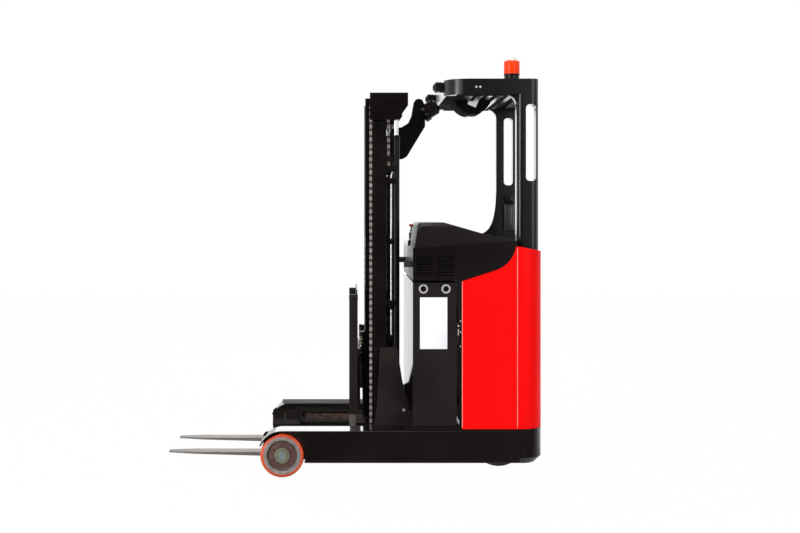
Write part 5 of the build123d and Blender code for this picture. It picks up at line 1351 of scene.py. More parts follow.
@dataclass
class BackPad:
    """The padded rest on the inside of the right pillar, under its pivot."""

    dome: float = 0.008
    seam_depth: float = 0.0022
    seam_place: float = 0.34
    seam_wide: float = 0.05
    waist: float = 0.0030
    corner: float = 0.004
    cuts: int = 9
    fill: float = 0.8
    pivot: Span = ((0.9955, 0.392, 1.563), (1.053, 0.4225, 1.612))

    def dress(self, fitter: Fitter) -> None:
        """Builds the domed cushion with its two sewn seams, and the pivot.

        Args:
            fitter: Puts the pieces in the scene.
        """
        low, high = (Vector(corner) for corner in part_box("back_pad"))
        span, middle = high - low, (high + low) / 2
        pad, pivot = Form(), Form()
        bmesh.ops.create_cube(pad.mesh, size=1.0)
        bmesh.ops.subdivide_edges(pad.mesh, edges=pad.mesh.edges, cuts=self.cuts, use_grid_fill=True)
        for corner in pad.mesh.verts:
            corner.co = self._stuffed(2.0 * corner.co, span / 2)
        bmesh.ops.translate(pad.mesh, verts=pad.mesh.verts, vec=middle)
        cushion = fitter.form("back_rest_cushion", pad, VINYL, "chassis", "black_plastic", smooth=180.0)
        smooth = cushion.modifiers.new("soft", "SUBSURF")
        smooth.levels = smooth.render_levels = 2
        pivot.box(*self.pivot, bevel=0.012, segments=4)
        fitter.form("pad_pivot", pivot, PLASTIC, "chassis", "black_plastic")
        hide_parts("back_pad")

    def _stuffed(self, place: Vector, half: Vector) -> Vector:
        """Moves one point of a cube to where the filling pushes it.

        Args:
            place: The point, from -1 to 1 on each axis.
            half: Half the size of the pad.

        Returns:
            The point on the cushion.
        """
        x, y, z = place
        bulge = (1.0 - x**4) * (1.0 - z**4)
        rows = (self.seam_place, -self.seam_place)
        seam = sum(math.exp(-(((z - row) / self.seam_wide) ** 2)) for row in rows)
        wide = half.x - self.waist * (1.0 - z * z) - self.corner * y * y
        tall = half.z - self.waist * (1.0 - x * x) - self.corner * y * y
        deep = half.y
        if y < 0:
            deep += self.dome * (bulge - 1.0) - self.seam_depth * seam * bulge
        return Vector((x * wide, y * deep, z * tall))


@dataclass
class GuardDress:
    """Bolts, blank plate, lamps, beacon and lining of the overhead guard."""

    bolts_x: tuple[float, float] = (0.707, 0.730)
    bolt_z: float = 2.214
    bolt_head: Profile = ((0.0, 0.0), (0.0066, 0.0), (0.0066, 0.0016), (0.0048, 0.0034), (0.0, 0.0040))
    side_y: float = 0.500
    plate: Span = ((0.703, -0.1385, 2.140), (0.757, -0.1365, 2.194))
    plate_turn: float = 24.0
    plate_arm: Span = ((0.716, -0.1368, 2.130), (0.744, -0.1290, 2.180))
    lamp_y: float = 0.328
    lamp_front: tuple[float, float] = (0.4785, 2.229)
    lamp_eye_gap: float = 0.017
    lamp_bezel: tuple[float, float, float] = (0.0118, 0.0162, 0.005)
    lamp_glass: Profile = ((0.0, 0.0), (0.0120, 0.0), (0.0116, 0.0018), (0.0060, 0.0034), (0.0, 0.0038))
    lamp_fins: int = 4
    lamp_fin_x: float = 0.487
    lamp_fin_pitch: float = 0.0085
    lamp_fin_thick: float = 0.0032
    lamp_fin_half: float = 0.036
    lamp_fin_z: tuple[float, float] = (2.2545, 2.2605)
    beacon_foot: Profile = (
        (0.0, 0.0), (0.0470, 0.0), (0.0470, 0.007), (0.0440, 0.010), (0.0440, 0.034), (0.0465, 0.037),
        (0.0465, 0.042), (0.0, 0.042),
    )
    beacon_ribs: int = 7
    beacon_rib_low: float = 0.0430
    beacon_rib_pitch: float = 0.0104
    beacon_rib: Profile = ((0.0462, 0.0), (0.0462, 0.0078), (0.0456, 0.0090))
    beacon_lens_foot: Profile = ((0.0, 0.0420), (0.0455, 0.0420))
    beacon_lens_top: Profile = ((0.0440, 0.1170), (0.0380, 0.1205), (0.0, 0.1215))
    beacon_cap: Profile = (
        (0.0, 0.1215), (0.0300, 0.1215), (0.0300, 0.1270), (0.0270, 0.1320), (0.0160, 0.1350), (0.0, 0.1358)
    )
    roof_z: float = 2.172
    lining_proud: float = 0.0012
    lining_sunk: float = 0.0004
    lining_side_x: tuple[float, float] = (0.600, 0.935)
    lining_side_y: tuple[float, float] = (0.494, 0.421)
    lining_front_x: tuple[float, float] = (0.545, 0.655)
    bar_half_y: float = 0.410
    bars: int = 5
    bar_x: float = 0.7138
    bar_pitch: float = 0.05785
    bar_half: float = 0.0125
    reading_light: Profile = ((0.0, 0.0), (0.026, 0.0), (0.026, 0.003), (0.021, 0.005), (0.0, 0.005))
    reading_light_foot: Point = (0.727, 0.060, 2.0955)

    def dress(self, fitter: Fitter) -> None:
        """Builds the pieces on the guard.

        Args:
            fitter: Puts the pieces in the scene.
        """
        bolts, plate, arm = Form(), Form(), Form()
        for x in self.bolts_x:
            bolts.turned(self.bolt_head, (x, -self.side_y, self.bolt_z), LEFT, steps=24)
        fitter.form("guard_bolts", bolts.mirrored(), RING, "chassis", "bare_steel")
        turn = Matrix.Rotation(math.radians(self.plate_turn), 3, "Y")
        plate.box(*self.plate, bevel=0.0008, segments=2, turn=turn)
        fitter.form("guard_blank_plate", plate, LABEL, "chassis", "black_plastic")
        arm.box(*self.plate_arm, bevel=0.0015)
        fitter.form("guard_plate_arm", arm, PLASTIC, "chassis", "black_plastic")
        self._lamps(fitter)
        self._beacon(fitter)
        self._belly(fitter)

    def _lamps(self, fitter: Fitter) -> None:
        """Builds bezels, glasses and top fins of the two roof lamps.

        Args:
            fitter: Puts the pieces in the scene.
        """
        bezels, glasses = Form(), Form()
        x, z = self.lamp_front
        for shift in (-self.lamp_eye_gap, self.lamp_eye_gap):
            spot = (x, -self.lamp_y + shift, z)
            bezels.ring(*self.lamp_bezel, spot, FRONT, steps=32)
            glasses.turned(self.lamp_glass, spot, FRONT, steps=28)
        low, high = self.lamp_fin_z
        for row in range(self.lamp_fins):
            start = self.lamp_fin_x + row * self.lamp_fin_pitch
            bezels.box(
                (start, -self.lamp_y - self.lamp_fin_half, low),
                (start + self.lamp_fin_thick, -self.lamp_y + self.lamp_fin_half, high),
                bevel=0.0008, segments=1,
            )
        fitter.form("roof_lamp_bezels", bezels.mirrored(), PLASTIC, "chassis", "black_plastic")
        fitter.form("roof_lamp_glasses", glasses.mirrored(), LENS, "chassis", "black_plastic")

    def _beacon(self, fitter: Fitter) -> None:
        """Builds the flashing beacon: black foot, ribbed amber lens and clear cap.

        Args:
            fitter: Puts the pieces in the scene.
        """
        low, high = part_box("beacon")
        seat = ((low[0] + high[0]) / 2, (low[1] + high[1]) / 2, low[2])
        foot, lens, cap = Form(), Form(), Form()
        foot.turned(self.beacon_foot, seat, UP, steps=48)
        wall = list(self.beacon_lens_foot)
        for row in range(self.beacon_ribs):
            level = self.beacon_rib_low + row * self.beacon_rib_pitch
            wall += [(radius, level + rise) for radius, rise in self.beacon_rib]
        lens.turned((*wall, *self.beacon_lens_top), seat, UP, steps=56)
        cap.turned(self.beacon_cap, seat, UP, steps=40)
        piece = fitter.form("beacon_foot", foot, PLASTIC, "chassis", "black_plastic")
        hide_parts("beacon")
        fitter.form("beacon_lens", lens, AMBER, "chassis", "amber_plastic")
        fitter.form("beacon_cap", cap, CLEAR, "chassis", "amber_plastic")

    def _belly(self, fitter: Fitter) -> None:
        """Builds the matt lining under the roof and the reading light of its console.

        Args:
            fitter: Puts the pieces in the scene.
        """
        lining, light = Form(), Form()
        low, high = self.roof_z - self.lining_proud, self.roof_z + self.lining_sunk
        front, rear = self.lining_side_x
        outer, inner = self.lining_side_y
        lining.box((front, -outer, low), (rear, -inner, high), bevel=0.0)
        lining.mirrored()
        strips = [self.lining_front_x]
        for bar in range(self.bars):
            x = self.bar_x + bar * self.bar_pitch
            strips.append((x - self.bar_half, x + self.bar_half))
        for front, rear in strips:
            lining.box((front, -self.bar_half_y, low), (rear, self.bar_half_y, high), bevel=0.0)
        fitter.form("roof_lining", lining, LINING, "chassis", "black_plastic")
        light.turned(self.reading_light, self.reading_light_foot, DOWN, steps=36)
        fitter.form("reading_light", light, LENS, "chassis", "black_plastic")


@dataclass
class WorkLampDress:
    """The lamp on the mast's arm: round hood, cooling fins, rear dome and glass."""

    middle: Point = (0.486, 0.0, 2.135)
    tilt: float = -31.6
    half: Point = (0.028, 0.052, 0.0465)
    fins: int = 5
    fin_pitch: float = 0.012
    fin_thick: float = 0.008
    core_inset: Point = (0.001, 0.005, 0.0035)
    dome: Profile = (
        (0.0, 0.0), (0.0445, 0.0), (0.044, 0.005), (0.036, 0.0135), (0.021, 0.019), (0.0, 0.0205)
    )
    hood_sunk: float = 0.002
    hood_drop: float = 0.006
    hood: Profile = (
        (0.0, 0.0), (0.046, 0.0), (0.050, 0.006), (0.050, 0.032), (0.047, 0.034), (0.0445, 0.031),
        (0.044, 0.020), (0.0, 0.020),
    )
    glass: Profile = ((0.0, 0.0195), (0.0438, 0.0195), (0.042, 0.0225), (0.026, 0.0238), (0.0, 0.0242))

    def dress(self, fitter: Fitter) -> None:
        """Builds the lamp level and then turns it onto its arm.

        Args:
            fitter: Puts the pieces in the scene.
        """
        seat = Matrix.Translation(self.middle) @ Matrix.Rotation(math.radians(self.tilt), 4, "Y")
        x, y, z = self.half
        core = Vector(self.half) - Vector(self.core_inset)
        front = (-x + self.hood_sunk, 0.0, -self.hood_drop)
        housing, fins, glass = Form(), Form(), Form()
        housing.box(tuple(-core), tuple(core), bevel=0.003)
        housing.turned(self.dome, (core.x, 0.0, 0.0), REAR, steps=48)
        housing.turned(self.hood, front, FRONT, steps=48)
        glass.turned(self.glass, front, FRONT, steps=40)
        for row in range(self.fins):
            low = -x + row * self.fin_pitch
            fins.box((low, -y, -z), (low + self.fin_thick, y, z), bevel=0.0012, segments=1)
        for name, form, finish in (
            ("housing", housing, PLASTIC),
            ("fins", fins, CARRIAGE),
            ("glass", glass, LENS),
        ):
            placed = Form()
            placed.stamp(form, seat)
            piece = fitter.form(f"work_lamp_{name}", placed, finish, "reach_carriage", "black_plastic")
            if name == "housing":
                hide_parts("work_lamp")


@dataclass
class MastDress:
    """Hydraulic pipes, glands, anchors and fasteners of the mast."""

    pipe_x: float = 0.2285
    pipe_y: float = 0.3440
    pipe_z: tuple[float, float] = (0.782, 1.735)
    pipe_radius: float = 0.0046
    pipe_bend: tuple[Point, Point, Point] = ((0.0, 0.0, -0.02), (0.006, 0.006, 0.0), (0.016, 0.013, 0.006))
    clamps_z: tuple[float, float] = (0.951, 1.332)
    clamp: Span = ((-0.013, -0.0075, -0.016), (0.013, 0.0090, 0.016))
    clamp_screw_x: float = 0.0085
    clamp_screw: float = 0.006
    foot_block: Span = ((-0.010, -0.0070, -0.020), (0.010, 0.0110, 0.006))
    hose_tray: Span = ((0.2018, -0.3385, 0.722), (0.2228, -0.3345, 1.712))
    hose_tray_lip: Span = ((0.2040, -0.3395, 0.726), (0.2060, -0.3380, 1.708))
    gland: Profile = (
        (0.0155, 0.0), (0.0215, 0.0), (0.0225, 0.002), (0.0225, 0.020), (0.0205, 0.024), (0.0165, 0.026),
        (0.0150, 0.026), (0.0150, 0.0),
    )
    gland_foot: Point = (0.258, -0.330, 1.926)
    free_gland: Profile = (
        (0.0222, 0.0), (0.0335, 0.0), (0.0345, 0.003), (0.0345, 0.024), (0.0310, 0.030), (0.0222, 0.032),
        (0.0222, 0.0),
    )
    free_gland_foot: Point = (0.114, 0.0, 1.222)
    nut: Profile = ((0.0, 0.0), (0.0110, 0.0), (0.0110, 0.0075), (0.0098, 0.0090), (0.0, 0.0090))
    nut_feet: tuple[Point, Point] = ((0.213, -0.326, 1.7860), (0.213, -0.326, 1.7750))
    anchor_rod: Span = ((0.213, -0.326, 1.752), (0.213, -0.326, 1.803))
    anchor_rod_radius: float = 0.0058
    bracket: Span = ((0.178, -0.3622, 1.796), (0.2345, -0.3598, 1.822))
    bracket_bolt: Point = (0.188, -0.3622, 1.809)
    head_bolt: Profile = ((0.0, 0.0), (0.0058, 0.0), (0.0058, 0.0012), (0.0040, 0.0028), (0.0, 0.0032))
    head_bolts: tuple[Point, ...] = ((0.118, -0.374, 2.052), (0.250, -0.374, 2.182), (0.118, -0.374, 2.182))

    def dress(self, fitter: Fitter) -> None:
        """Builds the pieces on the mast stages.

        Args:
            fitter: Puts the pieces in the scene.
        """
        self._pipes(fitter)
        self._glands(fitter)
        self._anchors(fitter)
        self._head(fitter)

    def _pipes(self, fitter: Fitter) -> None:
        """Builds the bright lift pipe beside each barrel, with clamps and hose tray.

        Args:
            fitter: Puts the pieces in the scene.
        """
        low, high = (Vector((self.pipe_x, -self.pipe_y, z)) for z in self.pipe_z)
        pipes, clamps, tray = Form(), Form(), Form()
        bend = [high + Vector(step) for step in self.pipe_bend]
        pipes.pipe([low, *bend], radius=self.pipe_radius)
        face = low.y + self.clamp[0][1]
        for z in self.clamps_z:
            spot = Vector((low.x, low.y, z))
            clamps.box(*(tuple(spot + Vector(corner)) for corner in self.clamp))
            for side in (-self.clamp_screw_x, self.clamp_screw_x):
                clamps.bolt((low.x + side, face, z), LEFT, across=self.clamp_screw)
        clamps.box(*(tuple(low + Vector(corner)) for corner in self.foot_block))
        tray.box(*self.hose_tray, bevel=0.001)
        tray.box(*self.hose_tray_lip, bevel=0.0)
        fitter.form("hose_trays", tray.mirrored(), MAST, "reach_carriage", "mast_steel")
        fitter.form("lift_pipes", pipes.mirrored(), BRIGHT, "reach_carriage", "bare_steel")
        fitter.form("lift_pipe_clamps", clamps.mirrored(), MAST, "reach_carriage", "mast_steel")

    def _glands(self, fitter: Fitter) -> None:
        """Builds the screwed glands on the barrels.

        Args:
            fitter: Puts the pieces in the scene.
        """
        glands, collar = Form(), Form()
        glands.turned(self.gland, self.gland_foot, UP, steps=36)
        fitter.form("lift_glands", glands.mirrored(), MAST, "reach_carriage", "bare_steel")
        collar.turned(self.free_gland, self.free_gland_foot, UP, steps=40)
        fitter.form("free_lift_gland", collar, STEEL, "inner_stage", "bare_steel")

    def _anchors(self, fitter: Fitter) -> None:
        """Builds the brackets and plated nuts under the chain ends.

        Args:
            fitter: Puts the pieces in the scene.
        """
        nuts, bracket = Form(), Form()
        for foot in self.nut_feet:
            nuts.turned(self.nut, foot, UP, steps=6)
        nuts.pipe(self.anchor_rod, radius=self.anchor_rod_radius)
        bracket.box(*self.bracket, bevel=0.001)
        bracket.bolt(self.bracket_bolt, LEFT, across=0.009)
        fitter.form("chain_anchor_brackets", bracket.mirrored(), MAST, "reach_carriage", "bare_steel")
        fitter.form("chain_anchor_nuts", nuts.mirrored(), ZINC, "reach_carriage", "bare_steel")

    def _head(self, fitter: Fitter) -> None:
        """Builds the bolts on the bare head plates.

        Args:
            fitter: Puts the pieces in the scene.
        """
        bolts = Form()
        for foot in self.head_bolts:
            bolts.turned(self.head_bolt, foot, LEFT, steps=20)
        fitter.form("head_plate_bolts", bolts.mirrored(), MAST, "middle_stage", "mast_steel")


@dataclass
class CarriageDress:
    """Fasteners and fittings of the reach frame, the fork carriage and the forks."""

    plate_y: float = 0.384
    plate_bolts: tuple[tuple[float, float], ...] = ((0.318, 0.326), (0.318, 0.262), (0.300, 0.356))
    roller_cap: Profile = ((0.0, 0.0), (0.019, 0.0), (0.019, 0.002), (0.012, 0.004), (0.0, 0.004))
    roller_caps: tuple[Point, Point] = ((0.270, -0.430, 0.168), (0.430, -0.430, 0.168))
    union: Profile = ((0.0, 0.0), (0.0075, 0.0), (0.0075, 0.007), (0.0062, 0.0085), (0.0, 0.0085))
    unions: tuple[Point, Point] = ((0.057, -0.238, 0.735), (0.057, -0.238, 0.763))
    head_ring_low: tuple[float, float, float] = (0.0135, 0.0160, 0.010)
    head_ring_high: tuple[float, float, float] = (0.0135, 0.0155, 0.008)
    head_ring_feet: tuple[Point, Point] = ((0.059, -0.226, 0.722), (0.059, -0.226, 0.747))
    lock_pin: Profile = (
        (0.0, 0.0), (0.009, 0.0), (0.009, 0.004), (0.005, 0.006), (0.005, 0.012), (0.010, 0.014),
        (0.010, 0.022), (0.007, 0.025), (0.0, 0.025),
    )
    lock_pin_foot: Point = (0.004, -0.210, 0.718)
    bar_face_x: float = 0.024
    bars_z: tuple[float, float] = (0.370, 0.672)
    bar_bolts_y: tuple[float, float, float] = (0.060, 0.120, 0.285)
    backrest_end: Span = ((-0.0170, -0.3212, 0.986), (0.0350, -0.2990, 1.0205))

    def dress(self, fitter: Fitter) -> None:
        """Builds the pieces on the carriages.

        Args:
            fitter: Puts the pieces in the scene.
        """
        bolts, caps = Form(), Form()
        for x, z in self.plate_bolts:
            bolts.bolt((x, -self.plate_y, z), LEFT, across=0.010, washer=0.0085)
        fitter.form("reach_frame_bolts", bolts.mirrored(), RING, "reach_carriage", "bare_steel")
        for foot in self.roller_caps:
            caps.turned(self.roller_cap, foot, LEFT, steps=32)
        fitter.form("reach_roller_caps", caps.mirrored(), ZINC, "reach_carriage", "bare_steel")
        self._fittings(fitter)
        self._fork_locks(fitter)

    def _fittings(self, fitter: Fitter) -> None:
        """Builds the hydraulic fittings on the tilt cylinder heads.

        Args:
            fitter: Puts the pieces in the scene.
        """
        unions, rings = Form(), Form()
        for foot in self.unions:
            unions.turned(self.union, foot, LEFT, steps=6)
        low, high = self.head_ring_feet
        rings.ring(*self.head_ring_low, low, UP, steps=32)
        rings.ring(*self.head_ring_high, high, UP, steps=32)
        fitter.form("tilt_unions", unions.mirrored(), ZINC, "lift_carriage", "bare_steel")
        fitter.form("tilt_head_rings", rings.mirrored(), STEEL, "lift_carriage", "bare_steel")

    def _fork_locks(self, fitter: Fitter) -> None:
        """Builds the lock pins of the forks, the bolts of their bars and the ends of the backrest.

        Args:
            fitter: Puts the pieces in the scene.
        """
        locks, bolts, ends = Form(), Form(), Form()
        locks.turned(self.lock_pin, self.lock_pin_foot, UP, steps=28)
        for z in self.bars_z:
            for y in self.bar_bolts_y:
                bolts.bolt((self.bar_face_x, -y, z), FRONT, across=0.015, washer=0.012)
        ends.box(*self.backrest_end)
        fitter.form("backrest_end_caps", ends.mirrored(), CARRIAGE, "tilt_frame", "fork_steel")
        fitter.form("fork_lock_pins", locks.mirrored(), ZINC, "tilt_frame", "bare_steel")
        fitter.form("fork_bar_bolts", bolts.mirrored(), CARRIAGE, "tilt_frame", "fork_steel")


@dataclass
class LegDress:
    """Nose covers, rail wear and grip strip of the support legs."""

    cover: Span = ((-0.512, -0.3954, 0.090), (-0.345, -0.3918, 0.236))
    cover_corner: float = 0.026
    cover_bolts_x: tuple[float, float] = (-0.494, -0.363)
    cover_bolts_z: tuple[float, float] = (0.108, 0.218)
    cover_face_y: float = -0.3920
    slot: Span = ((-0.441, -0.3924, 0.146), (-0.423, -0.3914, 0.208))
    slot_corner: float = 0.0085
    rail_wear: Span = ((-0.300, -0.4372, 0.158), (0.060, -0.4360, 0.192))
    grip_strip: Span = ((-0.455, 0.402, 0.2655), (0.330, 0.543, 0.2674))

    def dress(self, fitter: Fitter) -> None:
        """Builds the pieces on the legs.

        Args:
            fitter: Puts the pieces in the scene.
        """
        covers, slots, wear, grip = Form(), Form(), Form(), Form()
        covers.slab(*self.cover, corner=self.cover_corner, segments=6)
        for x in self.cover_bolts_x:
            for z in self.cover_bolts_z:
                covers.bolt((x, self.cover_face_y, z), RIGHT, across=0.008)
        # The slots are painted shade: near-black plates where the cover openings lie in shade.
        slots.slab(*self.slot, corner=self.slot_corner, segments=5)
        wear.box(*self.rail_wear, bevel=0.0)
        grip.box(*self.grip_strip, bevel=0.0008, segments=1)
        fitter.form("nose_covers", covers.mirrored(), BLACK, "chassis", "black_paint")
        fitter.form("nose_slots", slots.mirrored(), PAINTED_SHADE, "chassis", "black_paint")
        fitter.form("rail_wear", wear.mirrored(), WORN, "chassis", "bare_steel")
        fitter.form("grip_strip", grip, MAT, "chassis", "mat_rubber")


@dataclass
class BodyDress:
    """Light beads painted on the red panel edges as highlights, the lock of the panels, and the caps of the
    rear wheels.
    """

    split_highlight_bead: Span = ((0.934, -0.5494, 0.284), (0.934, -0.5494, 1.300))
    split_highlight_bead_radius: float = 0.0016
    front_highlight_bead: Span = ((0.6225, -0.5488, 0.284), (0.6225, -0.5488, 1.112))
    front_highlight_bead_radius: float = 0.0018
    lock: Profile = ((0.0, 0.0), (0.0130, 0.0), (0.0130, 0.004), (0.0110, 0.006), (0.0, 0.006))
    lock_foot: Point = (1.0825, -0.300, 0.985)
    key_slot: Span = ((1.0880, -0.3012, 0.980), (1.0892, -0.2988, 0.990))
    drive_middle: Point = (0.868, -0.1975, 0.1595)
    drive_half: float = 0.055
    studs: int = 8
    stud_circle: float = 0.082
    stud: Profile = ((0.0, 0.0), (0.008, 0.0), (0.008, 0.003), (0.005, 0.0042), (0.0, 0.0042))
    castor_middle: Point = (0.94424, 0.2449, 0.07466)
    castor_half: float = 0.0478
    castor_cap: Profile = ((0.0, 0.0), (0.030, 0.0), (0.029, 0.002), (0.018, 0.003), (0.0, 0.003))

    def dress(self, fitter: Fitter) -> None:
        """Builds the pieces on the body.

        Args:
            fitter: Puts the pieces in the scene.
        """
        beads, lock = Form(), Form()
        # The beads are painted highlight: light red lines where the panel edges catch the light.
        beads.pipe(self.split_highlight_bead, radius=self.split_highlight_bead_radius, steps=8)
        beads.pipe(self.front_highlight_bead, radius=self.front_highlight_bead_radius, steps=8)
        fitter.form("panel_edge_painted_highlights", beads.mirrored(), PANEL_HIGHLIGHT, "chassis", "red_paint")
        lock.turned(self.lock, self.lock_foot, REAR, steps=32)
        lock.box(*self.key_slot, bevel=0.0)
        fitter.form("rear_lock", lock, STEEL, "chassis", "bare_steel")
        self._drive(fitter)

    def _drive(self, fitter: Fitter) -> None:
        """Builds the studs of the drive hub and the caps of the castor wheels.

        Args:
            fitter: Puts the pieces in the scene.
        """
        studs, caps = Form(), Form()
        x, y, z = self.drive_middle
        castor_x, castor_y, castor_z = self.castor_middle
        for out in (LEFT, RIGHT):
            face = y + out[1] * self.drive_half
            for index in range(self.studs):
                angle = math.tau * index / self.studs
                spot = (x + self.stud_circle * math.cos(angle), face, z + self.stud_circle * math.sin(angle))
                studs.turned(self.stud, spot, out, steps=6)
            cap_foot = (castor_x, castor_y + out[1] * self.castor_half, castor_z)
            caps.turned(self.castor_cap, cap_foot, out, steps=28)
        fitter.form("drive_studs", studs, STEEL, "drive_wheel", "cast_grey")
        fitter.form("castor_caps", caps, CAST, "caster_pair", "cast_grey")


@dataclass(frozen=True)
class Softbox:
    """One rectangular lamp: its place, the point it faces, its size and its power in watts."""

    name: str
    place: Point
    aim: Point
    size: tuple[float, float]
    power: float


@dataclass
class Studio:
    """White sweep, soft lamps and the camera of the photograph."""

    lens: float = 50.25
    sensor: float = 36.0
    eye: Point = (-0.0075, -6.85, 1.484)
    shift: tuple[float, float] = (0.0617, -0.064)
    floor_half: float = 14.0
    floor_grey: float = 0.86
    floor_rough: float = 0.9
    floor_share: float = 0.985
    floor_ramp: tuple[float, float] = (-0.9, 0.2)
    sky: float = 0.46
    sky_ramp: tuple[float, float] = (-0.55, 0.25)
    dim: float = 0.05
    lamps: tuple[Softbox, ...] = (
        Softbox("key_lamp", place=(-3.4, -4.8, 4.2), aim=(0.1, 0.0, 0.9), size=(4.0, 4.0), power=110.0),
        Softbox("fill_lamp", place=(4.0, -5.2, 2.8), aim=(0.3, 0.0, 1.0), size=(4.0, 4.0), power=100.0),
        Softbox("top_lamp", place=(0.2, 0.4, 6.0), aim=(0.1, 0.0, 0.5), size=(5.0, 5.0), power=110.0),
        Softbox("back_lamp", place=(0.5, 5.2, 3.4), aim=(0.0, 0.0, 1.0), size=(5.0, 5.0), power=100.0),
        Softbox("side_strip", place=(-4.6, -4.6, 1.5), aim=(0.9, -0.5, 1.5), size=(1.8, 3.0), power=180.0),
    )

    def build(self) -> None:
        """Makes the floor, the world, the lamps and the camera."""
        self._floor()
        self._world()
        for softbox in self.lamps:
            self._lamp(softbox)
        self._camera()

    def _floor(self) -> None:
        """Makes a pale floor that is white to the camera and takes a faint shadow."""
        shape = bmesh.new()
        bmesh.ops.create_grid(shape, x_segments=1, y_segments=1, size=self.floor_half)
        mesh = bpy.data.meshes.new("studio_floor")
        shape.to_mesh(mesh)
        shape.free()
        floor = bpy.data.objects.new("studio_floor", mesh)
        bpy.context.scene.collection.objects.link(floor)
        paint = bpy.data.materials.new("studio_white")
        paint.use_nodes = True
        tree = paint.node_tree
        shader = tree.nodes["Principled BSDF"]
        shader.inputs["Base Color"].default_value = (self.floor_grey,) * 3 + (1.0,)
        shader.inputs["Roughness"].default_value = self.floor_rough
        place = tree.nodes.new("ShaderNodeTexCoord")
        behind = self._ramp(tree, place.outputs["Object"], "Y", *self.floor_ramp)
        self._background(tree, shader.outputs["BSDF"], behind, "ShaderNodeEmission", self.floor_share)
        mesh.materials.append(paint)

    def _ramp(
        self, tree: bpy.types.NodeTree, vector: bpy.types.NodeSocket, axis: str, low: float, high: float
    ) -> bpy.types.NodeSocket:
        """Makes a strength that rises from dim to full along one axis.

        Args:
            tree: The node tree.
            vector: The place or direction.
            axis: The axis that counts.
            low: Where the strength is dim.
            high: Where it is full.

        Returns:
            The strength socket.
        """
        parts = tree.nodes.new("ShaderNodeSeparateXYZ")
        tree.links.new(vector, parts.inputs["Vector"])
        span = tree.nodes.new("ShaderNodeMapRange")
        span.inputs["From Min"].default_value = low
        span.inputs["From Max"].default_value = high
        span.inputs["To Min"].default_value = self.dim
        span.inputs["To Max"].default_value = 1.0
        tree.links.new(parts.outputs[axis], span.inputs["Value"])
        return span.outputs["Result"]

    def _background(
        self,
        tree: bpy.types.NodeTree,
        lit: bpy.types.NodeSocket,
        mirrored: bpy.types.NodeSocket,
        kind: str,
        share: float,
    ) -> None:
        """Shows white to the camera and a graded white to the shiny surfaces.

        Args:
            tree: The node tree.
            lit: The shader that the other rays see.
            mirrored: Strength of the white that a reflection sees.
            kind: Type of the shader node for the white.
            share: How much of what the camera sees is plain white.
        """
        path = tree.nodes.new("ShaderNodeLightPath")
        shine = tree.nodes.new(kind)
        tree.links.new(mirrored, shine.inputs["Strength"])
        white = tree.nodes.new(kind)
        for node in (shine, white):
            node.inputs["Color"].default_value = (1.0, 1.0, 1.0, 1.0)
        white.inputs["Strength"].default_value = 1.0
        gloss = tree.nodes.new("ShaderNodeMixShader")
        tree.links.new(path.outputs["Is Glossy Ray"], gloss.inputs["Fac"])
        tree.links.new(lit, gloss.inputs[1])
        tree.links.new(shine.outputs[0], gloss.inputs[2])
        seen = tree.nodes.new("ShaderNodeMath")
        seen.operation = "MAXIMUM"
        tree.links.new(path.outputs["Is Camera Ray"], seen.inputs[0])
        tree.links.new(path.outputs["Is Transmission Ray"], seen.inputs[1])
        part = tree.nodes.new("ShaderNodeMath")
        part.operation = "MULTIPLY"
        part.inputs[1].default_value = share
        tree.links.new(seen.outputs["Value"], part.inputs[0])
        mix = tree.nodes.new("ShaderNodeMixShader")
        tree.links.new(part.outputs["Value"], mix.inputs["Fac"])
        tree.links.new(gloss.outputs["Shader"], mix.inputs[1])
        tree.links.new(white.outputs[0], mix.inputs[2])
        end = next(node for node in tree.nodes if node.bl_idname.startswith("ShaderNodeOutput"))
        tree.links.new(mix.outputs["Shader"], end.inputs["Surface"])

    def _world(self) -> None:
        """Makes a soft even sky that the camera sees as white."""
        world = bpy.data.worlds.new("studio_sky")
        bpy.context.scene.world = world
        world.use_nodes = True
        tree = world.node_tree
        sky = tree.nodes["Background"]
        sky.inputs["Color"].default_value = (1.0, 1.0, 1.0, 1.0)
        sky.inputs["Strength"].default_value = self.sky
        place = tree.nodes.new("ShaderNodeTexCoord")
        behind = self._ramp(tree, place.outputs["Generated"], "Y", *self.sky_ramp)
        self._background(tree, sky.outputs["Background"], behind, "ShaderNodeBackground", 1.0)

    def _lamp(self, softbox: Softbox) -> None:
        """Adds one area lamp.

        Args:
            softbox: Its place, aim, size and power.
        """
        light = bpy.data.lights.new(softbox.name, "AREA")
        light.shape = "RECTANGLE"
        light.size, light.size_y = softbox.size
        light.energy = softbox.power
        lamp = bpy.data.objects.new(softbox.name, light)
        lamp.location = softbox.place
        ahead = Vector(softbox.aim) - Vector(softbox.place)
        lamp.rotation_euler = ahead.to_track_quat("-Z", "Y").to_euler()
        bpy.context.scene.collection.objects.link(lamp)

    def _camera(self) -> None:
        """Sets the camera at the photograph's place, level and square to the truck's side."""
        data = bpy.data.cameras.new("photo_camera")
        data.lens = self.lens
        data.sensor_width = self.sensor
        data.shift_x, data.shift_y = self.shift
        camera = bpy.data.objects.new("photo_camera", data)
        camera.location = self.eye
        camera.rotation_euler = (math.pi / 2, 0.0, 0.0)
        bpy.context.scene.collection.objects.link(camera)
        bpy.context.scene.camera = camera
        bpy.context.scene.view_settings.view_transform = "Standard"


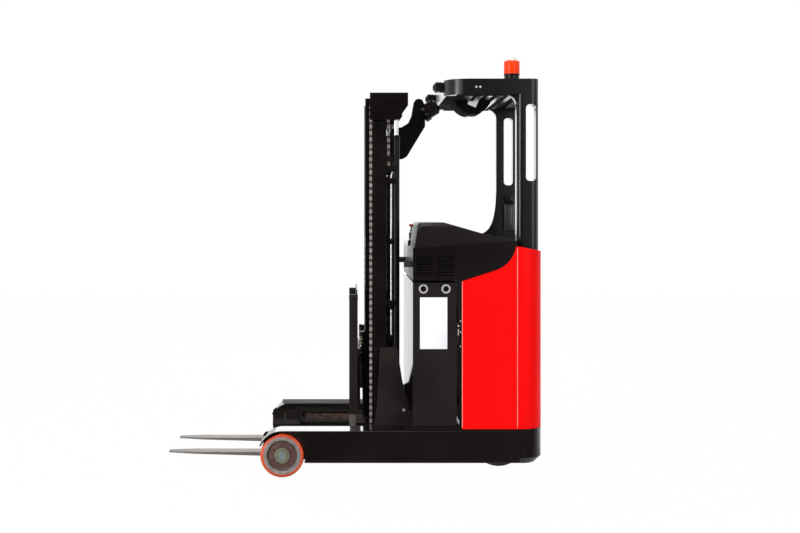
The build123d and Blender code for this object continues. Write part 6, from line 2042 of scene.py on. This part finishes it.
def main() -> None:
    """Loads the frame, dresses the truck and sets up the studio."""
    logging.basicConfig(level=logging.INFO, format="%(message)s")
    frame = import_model()
    fitter = Fitter(frame)
    fitter.dress()
    LoadWheels().dress(fitter)
    LeafChain(
        name="stage_chain", node="stage_chains", body="middle_stage", sheave=(0.1615, 2.110), radius=0.0515,
        side_y=0.326, front_low=0.240, rear_low=1.802, width=0.030, high=0.0150,
    ).dress(fitter)
    LeafChain(
        name="carriage_chain", node="carriage_chains", body="free_lift", sheave=(0.114, 1.330), radius=0.0310,
        side_y=0.089, front_low=0.570, rear_low=0.3388, width=0.021, high=0.0115,
    ).dress(fitter)
    BatteryDress().dress(fitter)
    ConsoleDress().dress(fitter)
    BackPad().dress(fitter)
    GuardDress().dress(fitter)
    WorkLampDress().dress(fitter)
    MastDress().dress(fitter)
    CarriageDress().dress(fitter)
    LegDress().dress(fitter)
    BodyDress().dress(fitter)
    Studio().build()


if __name__ == "__main__":
    main()
